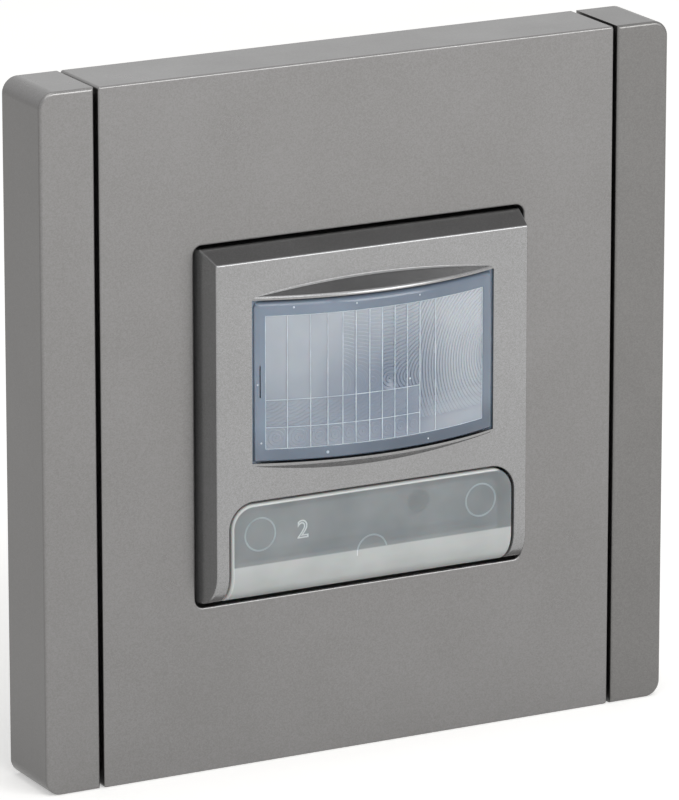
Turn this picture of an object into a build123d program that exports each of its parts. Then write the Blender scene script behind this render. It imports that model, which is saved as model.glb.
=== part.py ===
from build123d import *
import math
import os

# Motion sensor light switch, wall mounted, in millimetres.
# +X is right seen from the front, +Z is up, the front faces -Y and the wall face is y = 0.
# The origin is the middle of the two wall-box screw slots.

# Cover plate: three panels on one carrier
plate_width = 86.0
plate_height = 87.4
plate_depth = 10.2
bar_width = 7.25
seam_gap = 0.5
cover_wall = 1.6
seam_return_wall = 1.2
seam_return_depth = 3.2
bar_corner_radius = 2.0
cover_edge_radius = 0.4
panel_corner_radius = 0.35
panel_edge_radius = 0.25
opening_size = 45.4
opening_corner_radius = 1.1
opening_edge_radius = 0.25
collar_wall = 1.2
carrier_thickness = 2.0
carrier_edge_gap = 0.25
carrier_rib_height = 1.6
cover_hook_reach = 0.8
cover_hook_length = 7.0
cover_hook_depth = 1.2
cover_hook_place_share = 0.42
snap_gap = 0.12

# Support frame, folded from steel sheet
frame_width = 74.0
frame_height = 74.0
frame_sheet = 1.5
frame_corner_radius = 5.0
frame_rim_height = 4.5
frame_window_gap = 0.35
box_screw_spacing = 60.3
box_slot_length = 7.0
box_slot_radius = 2.05
box_pad_margin = 3.2
box_pad_height = 0.6
tab_width = 12.0
tab_height = 4.4
tab_inset = 1.8
tab_window_width = 5.2
tab_window_height = 1.8
tongue_width = 6.0
tongue_thickness = 1.3
tongue_nub_reach = 0.9

# Sensor module: bezel, hood, lens and key
module_gap = 0.4
bezel_reach = 3.4
bezel_side_draft = 0.9
bezel_draft_past = 0.2
bezel_top_draft = 1.4
bezel_wall = 1.6
bezel_edge_radius = 0.25
bullnose_radius = 4.3
lens_width = 32.9
lens_height = 20.0
lens_middle_height = 5.85
lens_bulge = 3.3
lens_thickness = 1.3
lens_zone_thickness = 0.8
lens_border = 1.75
lens_flange_reach = 0.9
lens_flange_thickness = 1.1
lens_gap = 0.2
hood_lip = 0.38
hood_ramp_rise = 1.05
hood_lip_radius = 0.32
retainer_wall = 1.2
retainer_throat_width = 22.0
retainer_throat_height = 12.0
key_width = 38.9
key_top_drop = 9.45
key_corner_radius = 3.0
key_edge_radius = 0.35
bay_edge_radius = 0.2
key_gap = 0.28
key_wall = 1.4
key_skirt_depth = 4.4
key_pivot_forward = 1.0
key_pivot_sink = 1.3
key_pin_radius = 0.9
key_pin_length = 1.3
key_stem_radius = 1.5
running_gap = 0.05
touch_gap = 0.1

# Housing behind the wall plane
housing_width = 44.2
housing_wall = 1.4
housing_corner_chamfer = 4.2
flange_reach = 1.3
flange_thickness = 1.2
front_housing_depth = 7.0
rear_housing_depth = 21.0
rear_wall = 1.6
rear_edge_chamfer = 1.5
spigot_depth = 2.0
spigot_gap = 0.1
step_depth = 7.2
step_drop = 9.0
board_ledge = 1.4
board_ledge_depth = 1.2
module_hook_reach = 1.0
module_hook_width = 10.0
module_hook_depth = 1.9
latch_width = 8.0
latch_length = 8.0
latch_thickness = 1.2
latch_window_width = 4.6
latch_window_length = 2.6
latch_window_inset = 1.4
rear_rib_count = 5
rear_rib_pitch = 4.2
rear_rib_width = 1.0
rear_rib_depth = 0.5

# Boards and what stands on them
board_thickness = 1.6
board_gap = 0.4
sensor_board_back = 2.1
power_board_back = 10.6
pin_radius = 0.3
pin_stub = 0.8
can_radius = 4.1
can_height = 3.7
can_flange_radius = 4.6
can_flange_height = 0.6
can_window_width = 4.0
can_window_height = 3.0
can_window_depth = 0.5
pedestal_height = 3.0
pedestal_radius = 5.2
photocell_radius = 2.1
photocell_height = 1.6
photocell_standoff = 3.0
photocell_offset = 8.2
tact_size = 6.0
tact_height = 3.5
tact_plunger_radius = 1.7
tact_plunger_height = 1.6
tact_place_x = 7.0
tact_drop = 12.6
tact_travel = 0.4
led_radius = 1.5
led_height = 4.2
led_place_x = -8.0
led_drop = 13.6
led_socket_depth = 0.8
guide_side_gap = 2.95
guide_height = 5.0
guide_thickness = 1.4
guide_post_inset = 0.5
guide_stem_radius = 2.2
guide_front_gap = 1.1
trimmer_size = 5.6
trimmer_height = 3.4
trimmer_place_z = 18.85
trimmer_pitch = 12.0
dial_radius = 1.5
dial_slot_width = 0.5
dial_slot_depth = 0.6
dial_length = 8.6

header_width = 12.7
header_thickness = 2.5
header_drop = 17.4
relay_width = 15.4
relay_height = 19.0
relay_depth = 14.6
film_width = 7.5
film_height = 18.0
film_depth = 12.5
smoothing_radius = 4.0
smoothing_height = 11.0
smoothing_groove = 0.4
varistor_radius = 4.5
varistor_thickness = 3.6
fuse_radius = 1.7
fuse_length = 9.0
inductor_radius = 3.6
inductor_height = 9.0
inductor_waist = 1.0
part_edge = 0.4

# Terminals
terminal_count = 3
terminal_pitch = 11.0
terminal_block_width = 36.0
terminal_block_back = 29.0
terminal_block_gap = 0.15
terminal_edge_chamfer = 1.0
wire_bore_radius = 1.9
wire_bore_length = 5.0
wire_funnel_radius = 2.5
wire_funnel_depth = 0.8
clamp_width = 6.4
clamp_height = 8.0
clamp_depth = 5.0
clamp_wall = 1.0
screw_radius = 2.1
screw_head_height = 1.8
screw_thread_radius = 1.4
screw_slot_width = 0.6
screw_slot_depth = 0.8
screw_access_radius = 2.4

# One overrun serves every cut, and edges this near a plane lie in it
overrun = 1.0
edge_slack = 0.01

# Places that follow from the sizes above
plate_front = -plate_depth
face_front = plate_front - bezel_reach
module_half = opening_size / 2 - module_gap
cover_inner_front = plate_front + cover_wall
carrier_back = cover_inner_front + carrier_thickness
rim_front = -frame_sheet - frame_rim_height
flange_front = rim_front - flange_thickness
housing_half = housing_width / 2
housing_inner_half = housing_half - housing_wall
lens_top = lens_middle_height + lens_height / 2
lens_bottom = lens_middle_height - lens_height / 2
lens_half = lens_width / 2
lens_radius = (lens_half**2 + lens_bulge**2) / (2 * lens_bulge)
lens_axis_y = face_front - lens_bulge + lens_radius
rear_back = front_housing_depth + rear_housing_depth
step_back = front_housing_depth + step_depth
key_half = key_width / 2
key_bottom = -module_half
curve_y = face_front + bullnose_radius
curve_z = -module_half + bullnose_radius
draft_back = curve_y + bezel_draft_past
pivot_y = curve_y - key_pivot_forward
pivot_z = curve_z - key_pivot_sink
sensor_board_front = sensor_board_back - board_thickness
power_board_front = power_board_back - board_thickness
terminal_top = -step_drop - terminal_block_gap
terminal_bottom = -housing_half + terminal_block_gap
terminal_front = step_back
bezel_back = flange_front
latch_pad_depth = latch_thickness + rear_wall
rim_window_back = -frame_sheet - snap_gap
rim_window_front = rim_window_back - module_hook_depth - 2 * snap_gap
power_board_half = housing_half - latch_pad_depth - board_gap
photocell_place = (photocell_offset, lens_middle_height)
lens_ends_y = lens_axis_y - math.sqrt(lens_radius**2 - lens_half**2)


# Helpers

def block(xs, ys, zs):
    """A box between two places on each axis."""
    size = [high - low for low, high in (xs, ys, zs)]
    middle = [(high + low) / 2 for low, high in (xs, ys, zs)]
    return Pos(*middle) * Box(*size)


def sides(half):
    """A pair of places the same distance either side of zero."""
    return (-half, half)


def elevation(y):
    """A plane seen from the front at depth y, with X across and Z up."""
    return Plane(origin=(0, y, 0), x_dir=(1, 0, 0), z_dir=(0, -1, 0))


def prism(sketch, y_front, y_back):
    """A front-view sketch carried from y_front back to y_back."""
    return extrude(elevation(y_back) * sketch, amount=y_back - y_front)


def side_profile(points, x_low, x_high):
    """A closed outline in Y and Z carried across from x_low to x_high."""
    plane = Plane(origin=(x_low, 0, 0), x_dir=(0, 1, 0), z_dir=(1, 0, 0))
    outline = make_face(Polyline(*points, close=True))
    return extrude(plane * outline, amount=x_high - x_low)


def plan_profile(points, z_low, z_high):
    """A closed outline in X and Y carried up from z_low to z_high."""
    outline = make_face(Polyline(*points, close=True))
    return extrude(Plane(origin=(0, 0, z_low)) * outline, amount=z_high - z_low)


def rod_y(radius, y_front, y_back, x=0, z=0):
    """A round bar along Y."""
    return prism(Pos(x, z) * Circle(radius), y_front, y_back)


def rod_x(radius, x_low, x_high, y, z):
    """A round bar along X."""
    plane = Plane(origin=(x_low, 0, 0), x_dir=(0, 1, 0), z_dir=(1, 0, 0))
    return extrude(plane * (Pos(y, z) * Circle(radius)), amount=x_high - x_low)


def rod_z(radius, z_low, z_high, x, y):
    """A round bar along Z."""
    return extrude(Plane(origin=(x, y, z_low)) * Circle(radius), amount=z_high - z_low)


def rounded_square(half, radius):
    """A front-view square with rounded corners."""
    return RectangleRounded(2 * half, 2 * half, radius)


def chamfered_square(half, cut):
    """A front-view square with chamfered corners."""
    square = Rectangle(2 * half, 2 * half)
    return chamfer(square.vertices(), cut)


def front_edges(shape, y):
    """The edges of a shape that lie in the plane at depth y."""
    boxes = ((edge, edge.bounding_box()) for edge in shape.edges())
    return [edge for edge, box in boxes
            if abs(box.min.Y - y) < edge_slack and abs(box.max.Y - y) < edge_slack]


# Cover plate

def hook_places(span):
    """Two snap hook places along an edge of the given half length."""
    return [share * span for share in (-cover_hook_place_share, cover_hook_place_share)]


def centre_plate():
    """The square-windowed middle panel, hollow at the back."""
    half_w = plate_width / 2 - bar_width - seam_gap
    half_h = plate_height / 2
    body = prism(RectangleRounded(2 * half_w, 2 * half_h, panel_corner_radius), plate_front, 0)
    body = fillet(front_edges(body, plate_front), panel_edge_radius)
    inner_w = half_w - seam_return_wall
    inner_h = half_h - cover_wall
    body -= block(sides(inner_w), (cover_inner_front, overrun), sides(inner_h))
    back_cut = (plate_front + seam_return_depth, overrun)
    body -= block((inner_w - overrun, half_w + overrun), back_cut, sides(inner_h))
    body -= block((-half_w - overrun, -inner_w + overrun), back_cut, sides(inner_h))
    opening_half = opening_size / 2
    collar_back = flange_front - carrier_edge_gap
    collar = prism(
        rounded_square(opening_half + collar_wall, opening_corner_radius + collar_wall),
        cover_inner_front, collar_back)
    body += collar
    body -= prism(rounded_square(opening_half, opening_corner_radius), plate_front - overrun, overrun)
    rim = [edge for edge in front_edges(body, plate_front)
           if abs(edge.center().X) <= opening_half and abs(edge.center().Z) <= opening_half]
    body = fillet(rim, opening_edge_radius)
    hook_y = (carrier_back + snap_gap, carrier_back + snap_gap + cover_hook_depth)
    for x in hook_places(half_w):
        for up in (-1, 1):
            hook = side_profile(
                [(hook_y[0], up * inner_h), (hook_y[0], up * (inner_h - cover_hook_reach)),
                 (hook_y[1], up * inner_h)],
                x - cover_hook_length / 2, x + cover_hook_length / 2)
            body += hook
    return body


def right_bar():
    """The right-hand side bar, with rounded outer corners and a hollow back."""
    low_x = plate_width / 2 - bar_width
    high_x = plate_width / 2
    half_h = plate_height / 2

    def outline(inset, radius):
        middle = (low_x + high_x) / 2
        sketch = Pos(middle, 0) * Rectangle(bar_width - 2 * inset, 2 * (half_h - inset))
        outer = sketch.vertices().group_by(Axis.X)[-1]
        return fillet(outer, radius)

    body = prism(outline(0, bar_corner_radius), plate_front, 0)
    outer_edges = [edge for edge in front_edges(body, plate_front)]
    body = fillet(outer_edges, cover_edge_radius)
    hollow_radius = bar_corner_radius - cover_wall + snap_gap
    body -= prism(outline(cover_wall, hollow_radius), cover_inner_front, overrun)
    inner_h = half_h - cover_wall
    body -= block((low_x - overrun, low_x + cover_wall + overrun),
                  (plate_front + seam_return_depth, overrun), sides(inner_h))
    hook_y = (carrier_back + snap_gap, carrier_back + snap_gap + cover_hook_depth)
    inner_x = high_x - cover_wall
    for z in hook_places(half_h):
        hook = plan_profile(
            [(inner_x, hook_y[0]), (inner_x - cover_hook_reach, hook_y[0]), (inner_x, hook_y[1])],
            z - cover_hook_length / 2, z + cover_hook_length / 2)
        body += hook
    return body


def plate_carrier():
    """The dark frame behind the seams that the three panels snap to."""
    half_w = plate_width / 2 - cover_wall - carrier_edge_gap
    half_h = plate_height / 2 - cover_wall - carrier_edge_gap
    window_half = opening_size / 2 + collar_wall + carrier_edge_gap
    front = cover_inner_front
    body = prism(Rectangle(2 * half_w, 2 * half_h), front, carrier_back)
    seam_x = plate_width / 2 - bar_width - seam_gap / 2
    groove_half = seam_gap / 2 + cover_wall + carrier_edge_gap
    groove_back = plate_front + seam_return_depth + carrier_edge_gap
    for way in (-1, 1):
        middle = way * seam_x
        well = block((middle - groove_half, middle + groove_half), (front - overrun, groove_back),
                     sides(half_h + overrun))
        keel_back = groove_back + carrier_thickness / 2
        keel_half = groove_half + cover_wall
        keel = block((middle - keel_half, middle + keel_half), (front, keel_back), sides(half_h))
        spine_half = seam_gap / 2 - snap_gap / 2
        spine = block((middle - spine_half, middle + spine_half), (front, keel_back), sides(half_h))
        body = body + keel - well + spine
    rib_back = carrier_back + carrier_rib_height
    ring = rounded_square(window_half + collar_wall, opening_corner_radius)
    body += prism(ring, carrier_back, rib_back)
    body -= prism(rounded_square(window_half, opening_corner_radius), front - overrun, rib_back + overrun)
    tab_z = frame_height / 2 - tab_inset
    tongue_low = tab_z + snap_gap
    tongue_back = -frame_sheet - snap_gap
    window_middle = -frame_sheet - tab_height / 2
    nub_half = tab_window_height / 2 - snap_gap
    for up in (-1, 1):
        zs = sorted((up * tongue_low, up * (tongue_low + tongue_thickness)))
        body += block(sides(tongue_width / 2), (front, tongue_back), zs)
        nub_half_w = tab_window_width / 2 - snap_gap
        nub = side_profile(
            [(window_middle - nub_half, up * tongue_low), (window_middle + nub_half, up * tongue_low),
             (window_middle - nub_half, up * (tongue_low - tongue_nub_reach))],
            -nub_half_w, nub_half_w)
        body += nub
    return body


# Support frame

def support_frame():
    """The steel strap that screws to the wall box and holds the module by its rim."""
    sketch = RectangleRounded(frame_width, frame_height, frame_corner_radius)
    body = prism(sketch, -frame_sheet, 0)
    window_half = housing_half + frame_window_gap
    rim_half = window_half + frame_sheet
    body += prism(rounded_square(rim_half, frame_sheet), rim_front, 0)
    slot_x = box_screw_spacing / 2
    for way in (-1, 1):
        pad = SlotOverall(box_slot_length + 2 * box_pad_margin, 2 * (box_slot_radius + box_pad_margin))
        pad = prism(Pos(way * slot_x, 0) * pad, -frame_sheet - box_pad_height, 0)
        body += pad
    body -= prism(Rectangle(2 * window_half, 2 * window_half), rim_front - overrun, overrun)
    for way in (-1, 1):
        slot = Pos(way * slot_x, 0) * SlotOverall(box_slot_length, 2 * box_slot_radius)
        body -= prism(slot, rim_front - overrun, overrun)
    hook_window = module_hook_width / 2 + snap_gap
    for way in (-1, 1):
        xs = sorted((way * window_half, way * rim_half))
        body -= block(xs, (rim_window_front, rim_window_back), sides(hook_window))
    tab_top = frame_height / 2 - tab_inset
    tab_front = -frame_sheet - tab_height
    window_middle = -frame_sheet - tab_height / 2
    for up in (-1, 1):
        zs = sorted((up * tab_top, up * (tab_top - frame_sheet)))
        body += block(sides(tab_width / 2), (tab_front, -frame_sheet), zs)
        cut = (window_middle - tab_window_height / 2, window_middle + tab_window_height / 2)
        body -= block(sides(tab_window_width / 2), cut, zs)
    return body


# Sensor module, front

def bezel_envelope():
    """The solid outer form of the module front, with its drafts and bullnose."""
    base = module_half
    top_front = base - bezel_top_draft
    with BuildPart() as builder:
        with BuildSketch(Plane(origin=(-base, 0, 0), x_dir=(0, 1, 0), z_dir=(1, 0, 0))):
            with BuildLine():
                Polyline((bezel_back, -base), (bezel_back, base), (plate_front, base),
                         (face_front, top_front), (face_front, curve_z))
                CenterArc((curve_y, curve_z), bullnose_radius, 180, 90)
                Line((curve_y, -base), (bezel_back, -base))
            make_face()
        extrude(amount=2 * base)
    body = builder.part
    for way in (-1, 1):
        wedge = plan_profile(
            [(way * base, draft_back), (way * (base - bezel_side_draft), face_front),
             (way * (base - bezel_side_draft), face_front - overrun),
             (way * (base + overrun), face_front - overrun), (way * (base + overrun), draft_back)],
            -base - overrun, base + overrun)
        body -= wedge
    edges = [edge for edge in front_edges(body, face_front)
             if edge.center().Z > curve_z + bezel_edge_radius]
    corner_x = base - bezel_side_draft - edge_slack
    corner_z = base - bezel_top_draft - edge_slack
    edges += [edge for edge in body.edges().filter_by(lambda edge: edge.bounding_box().size.Y > edge_slack)
              if abs(edge.center().X) > corner_x and edge.center().Z > corner_z
              and edge.bounding_box().min.Z > corner_z]
    return fillet(edges, bezel_edge_radius)


def arched(radius_front, radius_back, z_low, z_high, x_half):
    """A stretch of upright cylinder wall about the lens axis."""
    middle = Pos(0, lens_axis_y, (z_low + z_high) / 2)
    height = z_high - z_low
    wall = middle * (Cylinder(radius_front, height) - Cylinder(radius_back, height + overrun))
    window = block(sides(x_half), (face_front - lens_radius, lens_axis_y), (z_low, z_high))
    return wall & window


def hood_body():
    """The eyelid around the lens: a revolved ramp that dies into the flat face."""
    lip_half = lens_height / 2 + lens_gap + hood_lip
    slope = hood_ramp_rise / lens_bulge
    deep = lens_bulge + bezel_wall
    profile = [(lens_radius - deep, -lip_half - slope * deep), (lens_radius, -lip_half),
               (lens_radius, lip_half), (lens_radius - deep, lip_half + slope * deep)]
    section = Plane(origin=(0, lens_axis_y, lens_middle_height), x_dir=(0, -1, 0), z_dir=(1, 0, 0))
    face = section * make_face(Polyline(*profile, close=True))
    axis = Axis((0, lens_axis_y, 0), (0, 0, 1))
    angle = math.degrees(math.asin(lens_half / lens_radius)) + 2 * math.degrees(lens_border / lens_radius)
    turned = revolve(face, axis, 2 * angle)
    turned = Pos(0, lens_axis_y, 0) * (Rot(0, 0, -angle) * (Pos(0, -lens_axis_y, 0) * turned))
    lips = [edge for edge in turned.edges().filter_by(GeomType.CIRCLE)
            if edge.radius > lens_radius - hood_lip_radius]
    turned = fillet(lips, hood_lip_radius)
    keep = block(sides(lens_half + lens_gap), (face_front - 2 * lens_bulge, face_front + bezel_wall),
                 sides(module_half))
    return turned & keep


def key_outline(grow):
    """The key's front view, rounded at its two upper corners."""
    half = key_half + grow
    top = -key_top_drop + grow
    bottom = key_bottom - overrun
    sketch = Pos(0, (top + bottom) / 2) * Rectangle(2 * half, top - bottom)
    return fillet(sketch.vertices().group_by(Axis.Y)[-1], key_corner_radius + grow)


def outline_edges(body, grow):
    """The front edges of the key's outline: in the flat face, then round the bullnose."""
    half = key_half + grow
    top = -key_top_drop + grow
    found = []
    for edge in body.edges():
        box = edge.bounding_box()
        middle = edge.center()
        in_face = abs(box.min.Y - face_front) < edge_slack and abs(box.max.Y - face_front) < edge_slack
        inside = abs(middle.X) < half + edge_slack and curve_z + edge_slack < middle.Z < top + edge_slack
        on_side = abs(abs(middle.X) - half) < edge_slack
        on_curve = box.min.Y < face_front + edge_slack and box.max.Z < curve_z + edge_slack
        if (in_face and inside) or (on_side and on_curve and box.min.Z < key_bottom + edge_slack):
            found.append(edge)
    return found


def inner_form(inset):
    """The module's outer form drawn in by a wall, for hollowing it."""
    half = module_half - inset
    front = face_front + inset
    curve = bullnose_radius - inset
    with BuildPart() as builder:
        with BuildSketch(Plane(origin=(-half, 0, 0), x_dir=(0, 1, 0), z_dir=(1, 0, 0))):
            with BuildLine():
                Polyline((overrun, -half), (overrun, half), (plate_front, half),
                         (front, half - bezel_top_draft), (front, -half + curve))
                CenterArc((front + curve, -half + curve), curve, 180, 90)
                Line((front + curve, -half), (overrun, -half))
            make_face()
        extrude(amount=2 * half)
    return builder.part


def front_bezel():
    """The silver front with its hood, lens window, key bay and pivot cheeks."""
    body = bezel_envelope() - inner_form(bezel_wall)
    body += hood_body()
    bay = prism(key_outline(key_gap), face_front - overrun, bezel_back + overrun)
    cheek_low = key_half + key_gap
    cheek_top = pivot_z + key_pin_radius + bezel_wall
    for way in (-1, 1):
        xs = sorted((way * cheek_low, way * (module_half - bezel_wall / 2)))
        cheek = block(xs, (face_front + bezel_wall / 2, bezel_back), (curve_z, cheek_top))
        cheek += block(xs, (pivot_y, bezel_back), (-module_half + bezel_wall / 2, curve_z))
        body += cheek
    sill_low = -key_top_drop + key_gap
    body += block(sides(module_half - bezel_wall / 2), (face_front + bezel_wall / 2, pivot_y),
                  (sill_low, sill_low + seam_return_wall))
    body -= bay
    pocket_half = lens_half + lens_gap
    body -= block(sides(pocket_half), (face_front - 2 * lens_bulge, bezel_back + overrun),
                  (lens_bottom - lens_gap, lens_top + lens_gap))
    seat_front = lens_ends_y + lens_thickness - lens_flange_thickness
    seat = lens_flange_reach + lens_gap
    body -= block(sides(lens_half + seat), (seat_front, bezel_back + overrun),
                  (lens_bottom - seat, lens_top + seat))
    hole = key_pin_radius + running_gap
    reach = key_half + key_pin_length + touch_gap
    body -= rod_x(hole, -reach, reach, pivot_y, pivot_z)
    return fillet(outline_edges(body, key_gap), bay_edge_radius)


def fresnel_lens():
    """The arched lens: a clear border round a thinner ribbed field, on a flat flange."""
    inner = lens_radius - lens_thickness
    body = arched(lens_radius, inner, lens_bottom, lens_top, lens_half)
    field_low = lens_bottom + lens_border
    field_high = lens_top - lens_border
    field = arched(lens_radius - lens_zone_thickness, inner - overrun, field_low, field_high,
                   lens_half - lens_border)
    body -= field
    seat_front = lens_ends_y + lens_thickness - lens_flange_thickness + touch_gap / 2
    seat_back = seat_front + lens_flange_thickness
    outer_x = lens_half + lens_flange_reach
    ring = block(sides(outer_x), (seat_front, seat_back),
                 (lens_bottom - lens_flange_reach, lens_top + lens_flange_reach))
    walls_half = lens_half - lens_zone_thickness
    ring -= block(sides(walls_half), (seat_front - overrun, seat_back + overrun),
                  (lens_bottom + lens_zone_thickness, lens_top - lens_zone_thickness))
    skirt = block(sides(lens_half), (seat_front - lens_bulge, seat_back), (lens_bottom, lens_top))
    skirt -= block(sides(walls_half), (seat_front - lens_bulge - overrun, seat_back + overrun),
                   (lens_bottom + lens_zone_thickness, lens_top - lens_zone_thickness))
    reach = Pos(0, lens_axis_y, lens_middle_height) * Cylinder(lens_radius - lens_zone_thickness / 2,
                                                               lens_height + overrun)
    body = body + ring + (skirt & reach)
    return body & block(sides(lens_width), (face_front - lens_width, seat_back), sides(plate_height))


def lens_retainer():
    """The tapering throat between the lens and the sensor, which holds the lens in its seat."""
    front = lens_ends_y + lens_thickness + touch_gap / 2
    back = sensor_board_front - pedestal_height
    outer_w = lens_half + lens_flange_reach
    outer_h = lens_height / 2 + lens_flange_reach
    throat_w = retainer_throat_width / 2
    throat_h = retainer_throat_height / 2

    def funnel(grow, extra):
        wide = elevation(front - extra) * Rectangle(2 * (lens_half - lens_border / 2 + grow),
                                                    2 * (lens_height / 2 - lens_border / 2 + grow))
        narrow = elevation(back + extra) * Rectangle(2 * (throat_w + grow), 2 * (throat_h + grow))
        return loft([wide, narrow], ruled=True)

    rim = prism(Rectangle(2 * outer_w, 2 * outer_h), front, front + retainer_wall)
    body = rim + funnel(0, 0) - funnel(-retainer_wall, touch_gap)
    foot = prism(Rectangle(2 * (throat_w + retainer_wall), 2 * (throat_h + retainer_wall)),
                 back - retainer_wall, back)
    body += foot
    for x, radius in ((0, can_flange_radius), (photocell_offset, photocell_radius)):
        body -= rod_y(radius + touch_gap, back - 2 * retainer_wall, back + overrun, x, 0)
    legs = []
    for x in sides(throat_w):
        for z in sides(throat_h):
            legs.append(rod_y(retainer_wall, back, sensor_board_front, x, z))
    body = Pos(0, 0, lens_middle_height) * (body + legs)
    return body


def override_key():
    """The translucent rocker key: a skin that follows the bullnose, on two pivot pins."""
    skin = bezel_envelope() - inner_form(key_wall)
    body = skin & prism(key_outline(0), face_front - overrun, face_front + key_skirt_depth)
    body = fillet(outline_edges(body, 0), key_edge_radius)
    corner = prism(key_outline(0), face_front + bezel_edge_radius, face_front + key_skirt_depth)
    corner -= prism(key_outline(-key_wall), face_front, face_front + key_skirt_depth + overrun)
    under = inner_form(key_wall / 2)
    body += corner & under
    arm_back = pivot_y + key_pin_radius + key_wall / 2
    arm_top = pivot_z + key_pin_radius + key_wall
    for way in (-1, 1):
        xs = sorted((way * key_half, way * (key_half - key_wall)))
        arm = block(xs, (face_front + key_wall, arm_back), (pivot_z - key_pin_radius, arm_top))
        pin_xs = sorted((way * (key_half - key_wall / 2), way * (key_half + key_pin_length)))
        body += arm + rod_x(key_pin_radius, pin_xs[0], pin_xs[1], pivot_y, pivot_z)
    stem_back = sensor_board_front - tact_height - tact_plunger_height - touch_gap
    stem = rod_y(key_stem_radius, face_front + key_wall / 2, stem_back, tact_place_x, -tact_drop)
    body += stem
    return body


def light_guide():
    """The diffuser behind the key, with its stem over the lamp."""
    front = face_front + key_wall + guide_front_gap
    back = front + guide_thickness
    half = key_half - guide_side_gap
    plate = Pos(0, -led_drop) * RectangleRounded(2 * half, guide_height, guide_thickness)
    body = prism(plate, front, back)
    stem_back = sensor_board_front - led_height + led_socket_depth
    body += rod_y(guide_stem_radius, back, stem_back, led_place_x, -led_drop)
    body += rod_y(guide_stem_radius / 2, back, sensor_board_front, half - guide_post_inset, -led_drop)
    body -= rod_y(led_radius + touch_gap, stem_back - led_socket_depth - touch_gap, stem_back + overrun,
                  led_place_x, -led_drop)
    clear = key_stem_radius + 2 * key_gap
    body -= rod_y(clear, front - overrun, back + overrun, tact_place_x, -tact_drop)
    return body


# Sensor board and what stands on it

def sensor_board():
    """The front circuit board behind the lens and key."""
    half = housing_inner_half - board_gap
    return prism(chamfered_square(half, housing_corner_chamfer), sensor_board_front, sensor_board_back)


def status_led():
    """A blunt-nosed lamp with a collar on the sensor board."""
    base = sensor_board_front
    body = rod_y(led_radius, base - led_height, base, led_place_x, -led_drop)
    body = chamfer(front_edges(body, base - led_height), led_radius / 2)
    body += rod_y(led_radius + touch_gap, base - pin_stub, base, led_place_x, -led_drop)
    return body


def tact_switch_body():
    """The square push switch under the key."""
    base = sensor_board_front
    half = tact_size / 2
    body = prism(Pos(tact_place_x, -tact_drop) * chamfered_square(half, part_edge), base - tact_height, base)
    hole = tact_plunger_radius + running_gap
    depth = tact_travel + touch_gap + part_edge
    body -= rod_y(hole, base - tact_height - overrun, base - tact_height + depth, tact_place_x, -tact_drop)
    for x in sides(half - part_edge):
        for z in sides(half - part_edge):
            body += rod_y(part_edge, base - tact_height - part_edge / 2, base - tact_height + part_edge,
                          tact_place_x + x, -tact_drop + z)
    return body


def tact_switch_plunger():
    """The round plunger that the key's stem pushes."""
    top = sensor_board_front - tact_height
    return rod_y(tact_plunger_radius, top - tact_plunger_height, top + part_edge, tact_place_x, -tact_drop)


def pir_pedestal():
    """The insulating stand under the sensor can."""
    base = sensor_board_front
    body = rod_y(pedestal_radius - part_edge, base - pedestal_height, base, 0, lens_middle_height)
    return body


def pir_can():
    """The round metal can of the heat sensor, with a window cut in its cap."""
    base = sensor_board_front - pedestal_height
    z = lens_middle_height
    cap = rod_y(can_radius, base - can_flange_height - can_height, base, 0, z)
    cap = chamfer(front_edges(cap, base - can_flange_height - can_height), part_edge)
    body = cap + rod_y(can_flange_radius, base - can_flange_height, base, 0, z)
    front = base - can_flange_height - can_height
    body -= block(sides(can_window_width / 2), (front - overrun, front + can_window_depth),
                  (z - can_window_height / 2, z + can_window_height / 2))
    return body


def pir_window():
    """The dark filter set in the can's window."""
    front = sensor_board_front - pedestal_height - can_flange_height - can_height
    z = lens_middle_height
    half_w = can_window_width / 2
    half_h = can_window_height / 2
    return block(sides(half_w), (front + touch_gap, front + can_window_depth), (z - half_h, z + half_h))


def photocell():
    """The light cell on two leads beside the sensor can."""
    base = sensor_board_front
    x, z = photocell_place
    head_back = base - photocell_standoff
    body = rod_y(photocell_radius, head_back - photocell_height, head_back, x, z)
    for offset in sides(photocell_radius / 2):
        body += rod_y(pin_radius, head_back, base, x + offset, z)
    return body


def trimmer_bodies():
    """The three square adjusters above the lens."""
    base = sensor_board_front
    bodies = []
    for x in (-trimmer_pitch, 0, trimmer_pitch):
        top_z = trimmer_place_z + dial_radius + part_edge / 2
        body = block((x - trimmer_size / 2, x + trimmer_size / 2), (base - trimmer_height, base),
                     (top_z - trimmer_size, top_z))
        body -= rod_y(dial_radius + running_gap, base - trimmer_height - overrun, base - part_edge,
                      x, trimmer_place_z)
        bodies.append(body)
    return bodies


def adjuster_dial(x):
    """One slotted spindle, turned with a screwdriver once the bezel is off."""
    back = sensor_board_front - 2 * part_edge
    front = back - dial_length
    body = rod_y(dial_radius, front, back, x, trimmer_place_z)
    body = chamfer(front_edges(body, front), part_edge / 2)
    body -= block((x - dial_slot_width / 2, x + dial_slot_width / 2),
                  (front - overrun, front + dial_slot_depth),
                  (trimmer_place_z - dial_radius - overrun, trimmer_place_z + dial_radius + overrun))
    return body


# Housing

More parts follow.
